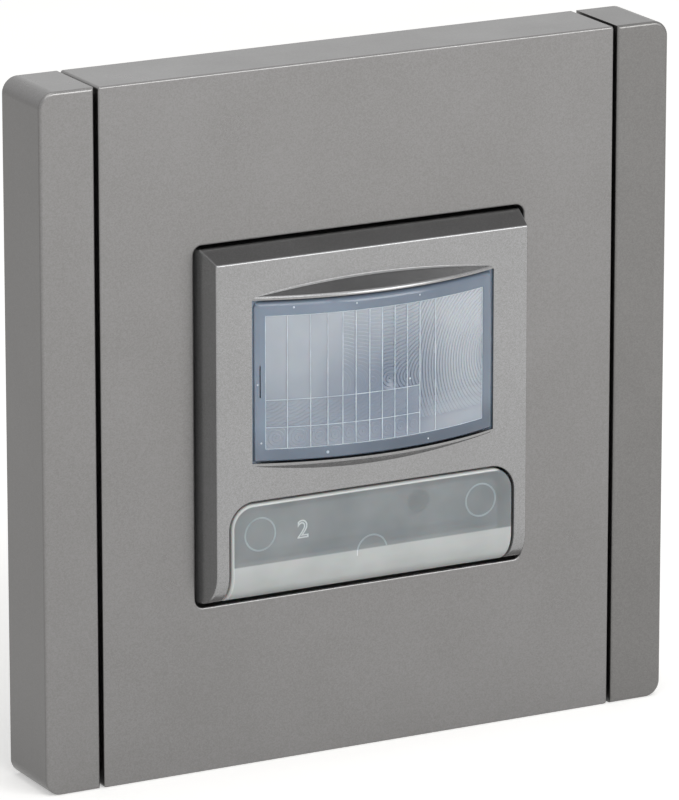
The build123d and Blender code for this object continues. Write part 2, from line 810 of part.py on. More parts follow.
def front_housing():
    """The black front tray: flange on the frame's rim, side hooks and board ledge."""
    back = front_housing_depth
    body = prism(chamfered_square(housing_half, housing_corner_chamfer), rim_front, back)
    flange = rounded_square(housing_half + flange_reach, opening_corner_radius)
    body += prism(flange, flange_front, rim_front)
    inner_cut = housing_corner_chamfer - housing_wall / 2
    body -= prism(chamfered_square(housing_inner_half, inner_cut), flange_front - overrun, back + overrun)
    ledge = chamfered_square(housing_inner_half, inner_cut)
    ledge -= chamfered_square(housing_inner_half - board_ledge, inner_cut)
    ledge_front = sensor_board_front - board_ledge_depth
    body += prism(ledge, ledge_front, sensor_board_front)
    trimmer_reach = trimmer_pitch + trimmer_size / 2 + board_gap
    body -= block(sides(trimmer_reach), (ledge_front, sensor_board_front),
                  (housing_inner_half - board_ledge - overrun, housing_inner_half))
    hook_y = (rim_window_front + snap_gap, rim_window_back - snap_gap)
    for way in (-1, 1):
        hook = plan_profile(
            [(way * housing_half, hook_y[0]), (way * (housing_half + module_hook_reach), hook_y[0]),
             (way * housing_half, hook_y[1])],
            -module_hook_width / 2, module_hook_width / 2)
        body += hook
        xs = sorted((way * housing_half, way * (housing_half - latch_thickness)))
        latch = block(xs, (back, back + latch_length), sides(latch_width / 2))
        window_back = back + latch_length - latch_window_inset
        latch -= block(xs, (window_back - latch_window_length, window_back), sides(latch_window_width / 2))
        body += latch
    return body


def rear_housing():
    """The stepped rear box, with a spigot, latch recesses and a finned back."""
    front = front_housing_depth
    outer = prism(chamfered_square(housing_half, housing_corner_chamfer), front, rear_back)
    outer = chamfer(front_edges(outer, rear_back), rear_edge_chamfer)
    step = block(sides(housing_half + overrun), (step_back, rear_back + overrun),
                 (-housing_half - overrun, -step_drop))
    inner_half = housing_half - rear_wall
    inner_cut = housing_corner_chamfer - rear_wall / 2
    hollow = prism(chamfered_square(inner_half, inner_cut), front - overrun, rear_back - rear_wall)
    hollow -= block(sides(housing_half + overrun), (step_back - rear_wall, rear_back + overrun),
                    (-housing_half - overrun, -step_drop + rear_wall))
    pads = []
    for way in (-1, 1):
        xs = sorted((way * (housing_half - latch_pad_depth), way * (housing_half - rear_wall / 2)))
        pads.append(block(xs, (front, front + latch_length + rear_wall), sides(latch_width / 2 + rear_wall)))
    body = outer - step - hollow + pads
    spigot_half = housing_inner_half - spigot_gap
    spigot_cut = housing_corner_chamfer - housing_wall / 2
    lip_inner = inner_half - rear_wall / 2
    spigot = chamfered_square(spigot_half, spigot_cut) - chamfered_square(lip_inner, spigot_cut)
    body += prism(spigot, front - spigot_depth, front + rear_wall)
    for way in (-1, 1):
        floor_x = housing_half - latch_thickness - spigot_gap
        xs = sorted((way * floor_x, way * (housing_half + overrun)))
        recess = block(xs, (front - overrun, front + latch_length + spigot_gap),
                       sides(latch_width / 2 + spigot_gap))
        recess &= block(sides(housing_half + overrun), (front, front + latch_length + spigot_gap),
                        sides(latch_width))
        body -= recess
        window_back = front + latch_length - latch_window_inset - snap_gap
        bump_low = window_back - latch_window_length + 2 * snap_gap
        bump = plan_profile(
            [(way * (floor_x - touch_gap), bump_low), (way * (housing_half - part_edge), window_back),
             (way * (floor_x - touch_gap), window_back)],
            -latch_window_width / 2 + snap_gap, latch_window_width / 2 - snap_gap)
        body += bump
    rib_top = (housing_half - step_drop) / 2 + rear_rib_pitch * (rear_rib_count - 1) / 2
    for count in range(rear_rib_count):
        z = rib_top - count * rear_rib_pitch
        groove = block(sides(housing_half / 2), (rear_back - rear_rib_depth, rear_back + overrun),
                       (z - rear_rib_width / 2, z + rear_rib_width / 2))
        body -= groove
    return body


# Power board and what stands on it

def power_board():
    """The rear circuit board that carries the mains parts."""
    outline = chamfered_square(power_board_half, housing_corner_chamfer / 2)
    return prism(outline, power_board_front, power_board_back)


def board_header():
    """The pin strip that joins the two boards."""
    body = block(sides(header_width / 2), (sensor_board_back, power_board_front),
                 (-header_drop, -header_drop + header_thickness))
    return body


def relay():
    """The sealed switching relay."""
    left = -power_board_half + part_edge
    low = -step_drop + rear_wall + part_edge + touch_gap
    body = block((left, left + relay_width), (power_board_back, power_board_back + relay_depth),
                 (low, low + relay_height))
    return chamfer(body.edges(), part_edge)


def film_capacitor():
    """The boxed dropper capacitor beside the relay."""
    left = -power_board_half + relay_width + 3 * part_edge
    low = -step_drop + rear_wall + part_edge + touch_gap
    body = block((left, left + film_width), (power_board_back, power_board_back + film_depth),
                 (low, low + film_height))
    return chamfer(body.edges().filter_by(Axis.Y), part_edge)


def smoothing_capacitor():
    """The round can capacitor, with its rolled groove and scored top."""
    x = power_board_half - smoothing_radius - part_edge
    z = -step_drop + rear_wall + smoothing_radius + part_edge + touch_gap
    base = power_board_back
    body = rod_y(smoothing_radius, base, base + smoothing_height, x, z)
    body = chamfer(body.edges().filter_by(GeomType.CIRCLE), part_edge)
    groove_y = base + smoothing_radius / 2
    ring = rod_y(smoothing_radius + overrun, groove_y, groove_y + smoothing_groove, x, z)
    ring -= rod_y(smoothing_radius - smoothing_groove, groove_y - overrun, groove_y + overrun, x, z)
    return body - ring


def varistor_middle():
    """The Z of the surge absorber, just above the round capacitor."""
    capacitor_top = -step_drop + rear_wall + 2 * smoothing_radius + part_edge + touch_gap
    return capacitor_top + part_edge + varistor_thickness / 2


def varistor():
    """The flat surge absorber standing on two leads."""
    x = power_board_half - varistor_radius - part_edge
    z = varistor_middle()
    y = power_board_back + varistor_radius + pin_stub
    body = rod_z(varistor_radius, z - varistor_thickness / 2, z + varistor_thickness / 2, x, y)
    body = chamfer(body.edges().filter_by(GeomType.CIRCLE), part_edge)
    for offset in sides(varistor_radius / 2):
        body += rod_y(pin_radius, power_board_back, y, x + offset, z)
    return body


def fuse():
    """The small glass-bodied fuse lying on its leads."""
    z = power_board_half - fuse_radius - part_edge
    x = power_board_half - fuse_length / 2 - 2 * part_edge
    y = power_board_back + fuse_radius + pin_stub
    cap = fuse_length / 5
    reach = (fuse_length - cap) / 2
    body = rod_x(fuse_radius - pin_stub / 4, x - reach, x + reach, y, z)
    for way in (-1, 1):
        ends = sorted((x + way * fuse_length / 2, x + way * (fuse_length / 2 - cap)))
        body += rod_x(fuse_radius, ends[0], ends[1], y, z)
        body += rod_y(pin_radius, power_board_back, y, x + way * (fuse_length - cap) / 2, z)
    return body


def inductor():
    """The drum choke between two flanges."""
    x = power_board_half - inductor_radius - 2 * part_edge
    z = varistor_middle() + varistor_thickness / 2 + part_edge + inductor_radius
    base = power_board_back
    flange = inductor_waist
    body = rod_y(inductor_radius, base, base + flange, x, z)
    body += rod_y(inductor_radius - inductor_waist / 2, base, base + inductor_height, x, z)
    body += rod_y(inductor_radius, base + inductor_height - flange, base + inductor_height, x, z)
    return body


# Terminals

def terminal_places():
    """The X places of the terminals, evenly spaced about the middle."""
    first = -terminal_pitch * (terminal_count - 1) / 2
    return [first + count * terminal_pitch for count in range(terminal_count)]


def terminal_middle():
    """The Y and Z of the middle of each clamp."""
    return terminal_back_wall() - clamp_depth / 2, (terminal_top + terminal_bottom) / 2


def terminal_back_wall():
    """The Y where the clamp bays end and the wire bores begin."""
    return terminal_block_back - wire_funnel_depth - wire_bore_length


def terminal_block():
    """The moulded block on the housing's step, with wire bores and screw wells."""
    half = terminal_block_width / 2
    body = block(sides(half), (terminal_front, terminal_block_back), (terminal_bottom, terminal_top))
    body = chamfer(front_edges(body, terminal_block_back), terminal_edge_chamfer / 2)
    clamp_y, clamp_z = terminal_middle()
    gap = touch_gap
    for x in terminal_places():
        body -= block((x - clamp_width / 2 - gap, x + clamp_width / 2 + gap),
                      (clamp_y - clamp_depth / 2 - gap, clamp_y + clamp_depth / 2),
                      (clamp_z - clamp_height / 2 - gap, clamp_z + clamp_height / 2 + gap))
        body -= rod_y(wire_bore_radius, clamp_y, terminal_block_back + overrun, x, clamp_z)
        mouth = Plane(origin=(x, terminal_block_back - wire_funnel_depth / 2, clamp_z), z_dir=(0, 1, 0))
        body -= mouth * Cone(wire_bore_radius, wire_funnel_radius, wire_funnel_depth)
        body -= rod_z(screw_access_radius, terminal_bottom - overrun, clamp_z, x, clamp_y)
    return body


def terminal_clamps():
    """The brass cages, one for each wire."""
    clamp_y, clamp_z = terminal_middle()
    cages = []
    for x in terminal_places():
        cage = block((x - clamp_width / 2, x + clamp_width / 2),
                     (clamp_y - clamp_depth / 2, clamp_y + clamp_depth / 2),
                     (clamp_z - clamp_height / 2, clamp_z + clamp_height / 2))
        cage -= block((x - clamp_width / 2 + clamp_wall, x + clamp_width / 2 - clamp_wall),
                      (clamp_y - clamp_depth, clamp_y + clamp_depth),
                      (clamp_z - clamp_height / 2 + clamp_wall, clamp_z + clamp_height / 2 - clamp_wall))
        cage -= rod_z(screw_thread_radius + running_gap, clamp_z - clamp_height, clamp_z, x, clamp_y)
        cages.append(cage)
    return cages


def terminal_screws():
    """The slotted screws that reach the cages from below."""
    clamp_y, clamp_z = terminal_middle()
    screws = []
    head_top = clamp_z - clamp_height / 2 - touch_gap
    for x in terminal_places():
        head_low = head_top - screw_head_height
        screw = rod_z(screw_radius, head_low, head_top, x, clamp_y)
        screw += rod_z(screw_thread_radius, head_top, clamp_z - wire_bore_radius - touch_gap, x, clamp_y)
        screw -= block((x - screw_slot_width / 2, x + screw_slot_width / 2),
                       (clamp_y - screw_radius - overrun, clamp_y + screw_radius + overrun),
                       (head_low - overrun, head_low + screw_slot_depth))
        screws.append(screw)
    return screws


# Writing the parts

def save(shape, name):
    """Write one sub-part, or a group of alike solids, to its file."""
    if isinstance(shape, list):
        shape = Compound(children=[Part(piece.wrapped) for piece in shape])
    export_step(shape, os.path.join("parts", name + ".step"))


def build():
    """Build every sub-part and write it."""
    os.makedirs("parts", exist_ok=True)
    bar = right_bar()
    save(bar, "right_side_bar")
    save(mirror(bar, about=Plane.YZ), "left_side_bar")
    save(adjuster_dial(-trimmer_pitch), "delay_dial")
    save(adjuster_dial(0), "range_dial")
    save(adjuster_dial(trimmer_pitch), "light_level_dial")
    makers = [
        centre_plate, plate_carrier, support_frame, front_bezel, fresnel_lens, lens_retainer,
        override_key, light_guide, sensor_board, status_led, tact_switch_body, tact_switch_plunger,
        pir_pedestal, pir_can, pir_window, photocell, trimmer_bodies, front_housing, rear_housing,
        power_board, board_header, relay, film_capacitor, smoothing_capacitor, varistor, fuse,
        inductor, terminal_block, terminal_clamps, terminal_screws,
    ]
    for maker in makers:
        save(maker(), maker.__name__)


build()
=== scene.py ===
"""Motion sensor light switch: the finishes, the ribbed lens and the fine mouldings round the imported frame."""

import logging
import math
from abc import ABC, abstractmethod
from collections.abc import Callable
from dataclasses import dataclass
from enum import Enum
from functools import cached_property

import bmesh
import bpy
from mathutils import Matrix, Vector


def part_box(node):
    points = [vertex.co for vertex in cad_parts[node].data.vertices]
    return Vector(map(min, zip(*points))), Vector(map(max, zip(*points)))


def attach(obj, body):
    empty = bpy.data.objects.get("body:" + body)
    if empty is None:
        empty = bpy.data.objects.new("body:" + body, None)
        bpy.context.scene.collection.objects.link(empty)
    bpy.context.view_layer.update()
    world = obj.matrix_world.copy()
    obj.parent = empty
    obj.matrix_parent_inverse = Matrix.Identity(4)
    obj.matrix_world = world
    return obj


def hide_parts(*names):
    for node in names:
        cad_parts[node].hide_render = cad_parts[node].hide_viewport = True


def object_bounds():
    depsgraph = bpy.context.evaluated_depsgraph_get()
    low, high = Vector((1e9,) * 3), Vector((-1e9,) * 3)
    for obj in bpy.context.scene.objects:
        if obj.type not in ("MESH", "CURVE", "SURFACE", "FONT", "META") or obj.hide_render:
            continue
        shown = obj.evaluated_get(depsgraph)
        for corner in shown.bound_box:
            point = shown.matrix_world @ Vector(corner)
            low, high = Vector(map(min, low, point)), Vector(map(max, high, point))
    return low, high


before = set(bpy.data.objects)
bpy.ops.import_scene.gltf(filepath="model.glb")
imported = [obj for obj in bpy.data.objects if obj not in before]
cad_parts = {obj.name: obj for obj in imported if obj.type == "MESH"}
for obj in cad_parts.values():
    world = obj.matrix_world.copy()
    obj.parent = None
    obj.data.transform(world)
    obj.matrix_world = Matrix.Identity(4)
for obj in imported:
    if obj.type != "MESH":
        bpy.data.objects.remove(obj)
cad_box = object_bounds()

log = logging.getLogger("switch")

Piece = bpy.types.Object
Socket = bpy.types.NodeSocket
Pair = tuple[float, float]
Triple = tuple[float, float, float]

MM = 0.001
WHOLE_TURN = 2 * math.pi
# a face looks along an axis from this share of its normal on
SQUARELY = 0.5
# the span that a noise texture keeps to nearly everywhere
NOISE_LOW, NOISE_HIGH = 0.25, 0.75


class Body(Enum):
    """The CAD bodies that new pieces ride on."""

    BASE = "base"
    KEY = "key"


class Slot(Enum):
    """The record's finishes, one for each real material."""

    COVER = "cover_paint"
    BEZEL = "bezel_paint"
    CARRIER = "carrier_black"
    ZINC = "zinc_steel"
    LENS = "lens_film"
    KEY = "key_frost"
    GUIDE = "guide_clear"
    RETAINER = "retainer_white"
    BOARD = "board_laminate"
    BLACK_PART = "part_black"
    BUTTON = "switch_button"
    CAN = "can_metal"
    FILTER = "filter_dark"
    CELL = "cell_face"
    LED = "led_body"
    DIAL = "dial_white"
    TRIMMER = "trimmer_blue"
    HOUSING = "housing_grey"
    REAR = "rear_grey"
    RELAY = "relay_case"
    FILM = "film_case"
    SLEEVE = "can_sleeve"
    DISC = "disc_coat"
    FUSE = "fuse_glass"
    CHOKE = "choke_sleeve"
    TERMINAL = "terminal_body"
    BRASS = "clamp_brass"
    SCREW = "screw_zinc"


# Shading helpers

def linear(hex_colour: str) -> tuple[float, float, float, float]:
    """Turns an sRGB hex colour into linear light.

    Args:
        hex_colour: six hex digits.

    Returns:
        Red, green and blue, and 1 for alpha.
    """
    values = []
    for start in (0, 2, 4):
        value = int(hex_colour[start:start + 2], 16) / 255
        values.append(value / 12.92 if value <= 0.04045 else ((value + 0.055) / 1.055) ** 2.4)
    return *values, 1.0


def per_mm(size_mm: float) -> float:
    """The texture scale at which one cell or wave is that many millimetres in Object coordinates."""
    return 1 / (size_mm * MM)


class Graph:
    """The node tree of one material or of the world."""

    def __init__(self, tree: bpy.types.NodeTree) -> None:
        """Takes over a tree and empties it."""
        self.tree = tree
        tree.nodes.clear()

    def add(self, kind: str, inputs: dict[int | str, object] | None = None,
            **settings: object) -> bpy.types.bpy_prop_collection:
        """Adds one node with its settings, fixed values and links.

        Args:
            kind: the node's type name after ShaderNode.
            inputs: a fixed value, or a socket to link, by input name or index.
            settings: attributes of the node.

        Returns:
            The node's outputs.
        """
        node = self.tree.nodes.new("ShaderNode" + kind)
        for name, value in settings.items():
            setattr(node, name, value)
        for name, value in (inputs or {}).items():
            if isinstance(value, Socket):
                self.tree.links.new(value, node.inputs[name])
            else:
                node.inputs[name].default_value = value
        return node.outputs

    @cached_property
    def place(self) -> Socket:
        """The Object coordinates at which the patterns are read."""
        return self.add("TexCoord")["Object"]

    def noise(self, size_mm: float, detail: float = 2.0, middle: float = 0.5, spread: float = 0.5,
              place: Socket | None = None) -> Socket:
        """A soft random pattern of one size.

        Args:
            size_mm: the size of its patches.
            detail: how many finer layers it has.
            middle: its mean value.
            spread: how far its darkest and lightest patches lie from the mean.
            place: where it is read, if not at the Object coordinates.

        Returns:
            A value socket.
        """
        texture = self.add("TexNoise", {"Scale": per_mm(size_mm), "Detail": detail,
                                        "Vector": self.place if place is None else place})
        return self.add("MapRange", {"Value": texture[0], "From Min": NOISE_LOW, "From Max": NOISE_HIGH,
                                     "To Min": middle - spread, "To Max": middle + spread})[0]

    def patches(self, size_mm: float) -> Socket:
        """A pattern of flat patches, each with its own random value.

        Args:
            size_mm: the size of a patch.

        Returns:
            A value socket.
        """
        texture = self.add("TexVoronoi", {"Scale": per_mm(size_mm), "Vector": self.place})
        return self.add("SeparateColor", {0: texture["Color"]})[0]

    def with_steps(self, total: Socket, steps: list[tuple[Socket, Pair, Pair]]) -> Socket:
        """Adds soft steps to a value and keeps the sum from 0 to 1.

        Args:
            total: the value.
            steps: what each step follows, where it runs in millimetres, and what it goes from and to.

        Returns:
            A value socket.
        """
        for value, (start, end), (low, high) in steps:
            step = self.add("MapRange", {"Value": value, "From Min": start * MM, "From Max": end * MM,
                                         "To Min": low, "To Max": high}, interpolation_type="SMOOTHSTEP")[0]
            total = self.add("Math", {0: total, 1: step})[0]
        return self.add("Math", {0: total, 1: 0.0}, use_clamp=True)[0]


# Finishes

@dataclass(frozen=True)
class Finish(ABC):
    """One real material with one way of making, and its darker and its lighter tone."""

    title: str
    dark: str
    light: str

    def build(self) -> bpy.types.Material:
        """Makes the Blender material.

        Returns:
            A material whose surface comes from this finish's nodes.
        """
        material = bpy.data.materials.new(self.title)
        material.use_nodes = True
        graph = Graph(material.node_tree)
        graph.add("OutputMaterial", {"Surface": self.surface(graph)})
        return material

    def skin(self, graph: Graph, tint: Socket, relief: Socket, depth_mm: float,
             inputs: dict[str, object]) -> Socket:
        """Adds a shader with this finish's two tones and a relief.

        Args:
            graph: the material's nodes.
            tint: goes from the dark tone at 0 to the light one at 1.
            relief: the height pattern, from 0 to 1.
            depth_mm: how deep the relief is.
            inputs: the shader's other inputs.

        Returns:
            The shader.
        """
        colour = graph.add("Mix", {0: tint, 6: linear(self.dark), 7: linear(self.light)}, data_type="RGBA")[2]
        normal = graph.add("Bump", {"Strength": 1.0, "Distance": depth_mm * MM, "Height": relief})[0]
        return graph.add("BsdfPrincipled", {"Base Color": colour, "Normal": normal, **inputs})[0]

    @abstractmethod
    def surface(self, graph: Graph) -> Socket:
        """Adds this finish's nodes and gives the shader."""


@dataclass(frozen=True)
class FlakePaint(Finish):
    """Aluminium-flake lacquer sprayed on moulded ABS: a soft metal sheen with a fine sparkle."""

    metallic: float = 0.94
    roughness: float = 0.3
    # real flakes are 0.03 mm, drawn larger so that the sparkle shows
    flake_mm: float = 0.13
    flake_depth_mm: float = 0.0006
    cloud_mm: float = 16.0
    cloud_spread: float = 0.2
    gloss_spread: float = 0.03
    peel_mm: float = 0.9
    peel_depth_mm: float = 0.002
    # the sides and the top are drawn towards this dark tone: painted shade, by how steeply a face turns aside
    # or up
    painted_shade_tone: str = "4d4c4b"
    side_painted_shade: float = 0.5
    top_painted_shade: float = 0.14
    # flakes stand on edge on a steep side, which makes it less of a mirror
    side_dull: float = 0.0

    def surface(self, graph: Graph) -> Socket:
        """Adds the lacquer: flake tint, slow clouding, a trace of orange peel, and painted shade on the sides
        and the top.

        Args:
            graph: the material's nodes.

        Returns:
            The shader.
        """
        flakes = graph.patches(self.flake_mm)
        clouds = graph.noise(self.cloud_mm, detail=3.0, middle=0.0, spread=self.cloud_spread)
        tint = graph.add("Math", {0: flakes, 1: clouds}, use_clamp=True)[0]
        # the fourth power of the normal's parts, which is near 0 until a face is steep
        steep = graph.add("TexCoord")["Normal"]
        for _ in range(2):
            steep = graph.add("VectorMath", {0: steep, 1: steep}, operation="MULTIPLY")[0]
        # painted shade: steep sides and upward faces are darkened towards the dark tone
        painted_shade = graph.add("VectorMath", {0: steep, 1: (self.side_painted_shade, 0, self.top_painted_shade)},
                         operation="DOT_PRODUCT")["Value"]
        colour = graph.add("Mix", {0: tint, 6: linear(self.dark), 7: linear(self.light)}, data_type="RGBA")[2]
        colour = graph.add("Mix", {0: painted_shade, 6: colour, 7: linear(self.painted_shade_tone)}, data_type="RGBA")[2]
        metal: float | Socket = self.metallic
        if self.side_dull:
            dull = graph.add("VectorMath", {0: steep, 1: (self.side_dull, 0, 0)},
                             operation="DOT_PRODUCT")["Value"]
            metal = graph.add("Math", {0: self.metallic, 1: dull}, operation="SUBTRACT")[0]
        normal = graph.add("Bump", {"Strength": 1.0, "Distance": self.peel_depth_mm * MM,
                                    "Height": graph.noise(self.peel_mm)})[0]
        normal = graph.add("Bump", {"Strength": 1.0, "Distance": self.flake_depth_mm * MM,
                                    "Height": flakes, "Normal": normal})[0]
        gloss = graph.noise(self.cloud_mm / 2, middle=self.roughness, spread=self.gloss_spread)
        return graph.add("BsdfPrincipled", {"Base Color": colour, "Metallic": metal, "Roughness": gloss,
                                            "Normal": normal})[0]


@dataclass(frozen=True)
class MouldedPlastic(Finish):
    """Injection-moulded plastic with a spark-eroded grain: an even colour broken by a fine matt texture."""

    roughness: float = 0.5
    grain_mm: float = 0.25
    grain_depth_mm: float = 0.008
    flow_mm: float = 9.0
    gloss_spread: float = 0.05

    def surface(self, graph: Graph) -> Socket:
        """Adds the grain, the slow flow marks and their change of gloss.

        Args:
            graph: the material's nodes.

        Returns:
            The shader.
        """
        grain = graph.noise(self.grain_mm, detail=3.0)
        tint = graph.add("Math", {0: grain, 1: graph.noise(self.flow_mm)}, operation="MULTIPLY")[0]
        gloss = graph.noise(self.flow_mm / 2, middle=self.roughness, spread=self.gloss_spread)
        return self.skin(graph, tint, grain, self.grain_depth_mm,
                         {"Specular IOR Level": 0.45, "Roughness": gloss})


@dataclass(frozen=True)
class RolledMetal(Finish):
    """Rolled or plated sheet: crystal patches or rolling marks change the gloss more than the colour."""

    roughness: float = 0.34
    patch_mm: float = 3.0
    line_mm: float = 0.12
    line_stretch: float = 14.0
    line_depth_mm: float = 0.003
    # how much the lines count in the tint, beside the patches
    line_share: float = 0.35
    gloss_spread: float = 0.09

    def surface(self, graph: Graph) -> Socket:
        """Adds the patches and the drawn-out lines.

        Args:
            graph: the material's nodes.

        Returns:
            The shader.
        """
        stretched = graph.add("Mapping", {"Vector": graph.place, "Scale": (1 / self.line_stretch, 1, 1)})[0]
        lines = graph.noise(self.line_mm, place=stretched)
        tint = graph.add("Mix", {0: self.line_share, 2: graph.patches(self.patch_mm), 3: lines},
                         data_type="FLOAT")[0]
        gloss = graph.add("MapRange", {"Value": tint, "To Min": self.roughness - self.gloss_spread,
                                       "To Max": self.roughness + self.gloss_spread})[0]
        return self.skin(graph, tint, lines, self.line_depth_mm, {"Metallic": 1.0, "Roughness": gloss})


@dataclass(frozen=True)
class MilkyPlastic(Finish):
    """Translucent moulded plastic: clouding in the wall, a wet gloss on the skin, a little of what is behind.
    """

    veil: float = 0.6
    roughness: float = 0.24
    haze_mm: float = 6.0
    ripple_mm: float = 2.4
    ripple_depth_mm: float = 0.004
    coat: float = 0.4
    veil_spread: float = 0.06

    def surface(self, graph: Graph) -> Socket:
        """Adds the clouding, with any painted light of a subclass, and the skin, and lets the rest of the light
        through.

        Args:
            graph: the material's nodes.

        Returns:
            The shader.
        """
        haze_and_painted_light = self.haze_and_painted_light(graph)
        opacity = graph.add("MapRange", {"Value": haze_and_painted_light, "To Min": self.veil - self.veil_spread,
                                         "To Max": self.veil + self.veil_spread})[0]
        return self.skin(graph, haze_and_painted_light, graph.noise(self.ripple_mm), self.ripple_depth_mm, {
            "Roughness": self.roughness, "Alpha": opacity, "Coat Weight": self.coat, "Coat Roughness": 0.08,
            "Subsurface Weight": 0.25, "Subsurface Scale": 1.5 * MM})

    def haze_and_painted_light(self, graph: Graph) -> Socket:
        """The clouding of the wall, from 0 to 1, without painted light; the key and the lens add it."""
        return graph.noise(self.haze_mm)


@dataclass(frozen=True)
class KeyPlastic(MilkyPlastic):
    """Frosted polycarbonate: a painted glow below the band line where the wall turns back, painted shade of the
    dark bay above it.
    """

    band_z_mm: float = -17.2
    band_soft_mm: float = 0.12
    painted_glow_below: float = 0.76
    painted_shade_above: float = 0.1
    cloud_spread: float = 0.1
    # the middle and the radius of the top left corner, and the width of the painted highlight along it
    corner_x_mm: float = -16.45
    corner_z_mm: float = -12.45
    corner_radius_mm: float = 3.0
    painted_highlight_mm: float = 0.42

    def haze_and_painted_light(self, graph: Graph) -> Socket:
        """Painted glow below the band line, painted shade above it, and a painted highlight along the rounded
        top and left edges.

        Args:
            graph: the material's nodes.

        Returns:
            The clouding with the painted glow, shade and highlight, from 0 to 1.
        """
        x, _, z = graph.add("SeparateXYZ", {0: graph.place})
        leftward = graph.add("Math", {0: self.corner_x_mm * MM, 1: x}, operation="SUBTRACT")[0]
        upward = graph.add("Math", {0: z, 1: self.corner_z_mm * MM}, operation="SUBTRACT")[0]
        out = [graph.add("Math", {0: part, 1: 0.0}, operation="MAXIMUM")[0] for part in (leftward, upward)]
        corner = graph.add("CombineXYZ", {0: out[0], 2: out[1]})[0]
        away = graph.add("VectorMath", {0: corner}, operation="LENGTH")["Value"]
        band = (self.band_z_mm - self.band_soft_mm, self.band_z_mm + self.band_soft_mm)
        edge = (self.corner_radius_mm - self.painted_highlight_mm, self.corner_radius_mm - self.painted_highlight_mm / 2)
        clouds = graph.noise(self.haze_mm, middle=0.0, spread=self.cloud_spread)
        # painted glow below the band, painted shade above it, painted highlight along the corner's edge
        return graph.with_steps(clouds, [
            (z, band, (self.painted_glow_below, self.painted_shade_above)), (away, edge, (0.0, 1.0))])


@dataclass(frozen=True)
class LensPlastic(MilkyPlastic):
    """Thin milky polyethylene, with painted light and shade of what is behind it: lighter or darker with the
    height and from left to right, and darker in front of the sensor.
    """

    # where each painted change of light runs, and how far it goes
    rise_mm: Pair = (-2.5, 14.0)
    rise: Pair = (0.42, 0.82)
    aside_mm: Pair = (2.0, 10.0)
    aside: float = 0.22
    sensor_mm: Pair = (0.6, 5.6)
    sensor_reach_mm: float = 12.0
    sensor_shade: float = -0.42
    cloud_spread: float = 0.08

    def haze_and_painted_light(self, graph: Graph) -> Socket:
        """Painted light and shade: changes with the height and from left to right, and is darker in front of
        the sensor.

        Args:
            graph: the material's nodes.

        Returns:
            The clouding with the painted light and shade, from 0 to 1.
        """
        x, _, z = graph.add("SeparateXYZ", {0: graph.place})
        flat = graph.add("CombineXYZ", {0: x, 2: z})[0]
        sensor = (self.sensor_mm[0] * MM, 0, self.sensor_mm[1] * MM)
        away = graph.add("VectorMath", {0: flat, 1: sensor}, operation="DISTANCE")["Value"]
        clouds = graph.noise(self.haze_mm, middle=0.0, spread=self.cloud_spread)
        # painted light and shade by height, from left to right, and in front of the sensor
        return graph.with_steps(clouds, [
            (z, self.rise_mm, self.rise), (x, self.aside_mm, (0.0, self.aside)),
            (away, (0.0, self.sensor_reach_mm), (self.sensor_shade, 0.0))])


@dataclass(frozen=True)
class Laminate(Finish):
    """Glass-epoxy board under green solder resist: raised copper tracks show as lighter lanes."""

    track_mm: float = 1.1
    tracks_per_brick: int = 4
    track_depth_mm: float = 0.03

    def surface(self, graph: Graph) -> Socket:
        """Adds the tracks, the resist and its gloss.

        Args:
            graph: the material's nodes.

        Returns:
            The shader.
        """
        upright = graph.add("Mapping", {"Vector": graph.place, "Rotation": (math.pi / 2, 0, 0)})[0]
        tracks = graph.add("TexBrick", {
            "Vector": upright, "Scale": per_mm(self.track_mm * self.tracks_per_brick),
            "Mortar Size": 0.09, "Mortar Smooth": 0.2, "Mortar": (1, 1, 1, 1),
            "Color1": (0, 0, 0, 1), "Color2": (0.15, 0.15, 0.15, 1)}, offset=0.37)["Color"]
        return self.skin(graph, tracks, tracks, self.track_depth_mm,
                         {"Roughness": 0.3, "Coat Weight": 0.5, "Coat Roughness": 0.12})


@dataclass(frozen=True)
class CellFace(Finish):
    """Sintered cadmium cell under clear resin: a winding track between two electrodes."""

    track_mm: float = 0.7

    def surface(self, graph: Graph) -> Socket:
        """Adds the track lines and the resin's gloss.

        Args:
            graph: the material's nodes.

        Returns:
            The shader.
        """
        waves = graph.add("TexWave", {"Vector": graph.place, "Scale": per_mm(self.track_mm) / WHOLE_TURN,
                                      "Distortion": 1.5}, bands_direction="Z")["Fac"]
        colour = graph.add("Mix", {0: waves, 6: linear(self.dark), 7: linear(self.light)},
                           data_type="RGBA")[2]
        return graph.add("BsdfPrincipled", {"Base Color": colour, "Roughness": 0.35,
                                            "Coat Weight": 0.8, "Coat Roughness": 0.05})[0]


@dataclass(frozen=True)
class CappedGlass(Finish):
    """A glass tube between two nickel caps, split by where the caps end."""

    low_x: float
    high_x: float
    cap_share: float = 0.2
    smear_mm: float = 1.2
    cap_dark: str = "a9a69f"
    cap_light: str = "cfccc5"

    def surface(self, graph: Graph) -> Socket:
        """Adds the glass in the middle and the plated metal at both ends.

        Args:
            graph: the material's nodes.

        Returns:
            The shader.
        """
        along = graph.add("SeparateXYZ", {0: graph.place})[0]
        middle, half = (self.low_x + self.high_x) / 2, (self.high_x - self.low_x) / 2
        away = graph.add("Math", {0: along, 1: middle}, operation="SUBTRACT")[0]
        away = graph.add("Math", {0: away}, operation="ABSOLUTE")[0]
        is_cap = graph.add("Math", {0: away, 1: half * (1 - 2 * self.cap_share)},
                           operation="GREATER_THAN")[0]
        smear = graph.noise(self.smear_mm)
        shaders = []
        for dark, light, inputs in ((self.dark, self.light, {"Roughness": 0.08, "Coat Weight": 1.0}),
                                    (self.cap_dark, self.cap_light, {"Roughness": 0.28, "Metallic": 1.0})):
            colour = graph.add("Mix", {0: smear, 6: linear(dark), 7: linear(light)}, data_type="RGBA")[2]
            shaders.append(graph.add("BsdfPrincipled", {"Base Color": colour, **inputs})[0])
        return graph.add("MixShader", {0: is_cap, 1: shaders[0], 2: shaders[1]})[0]


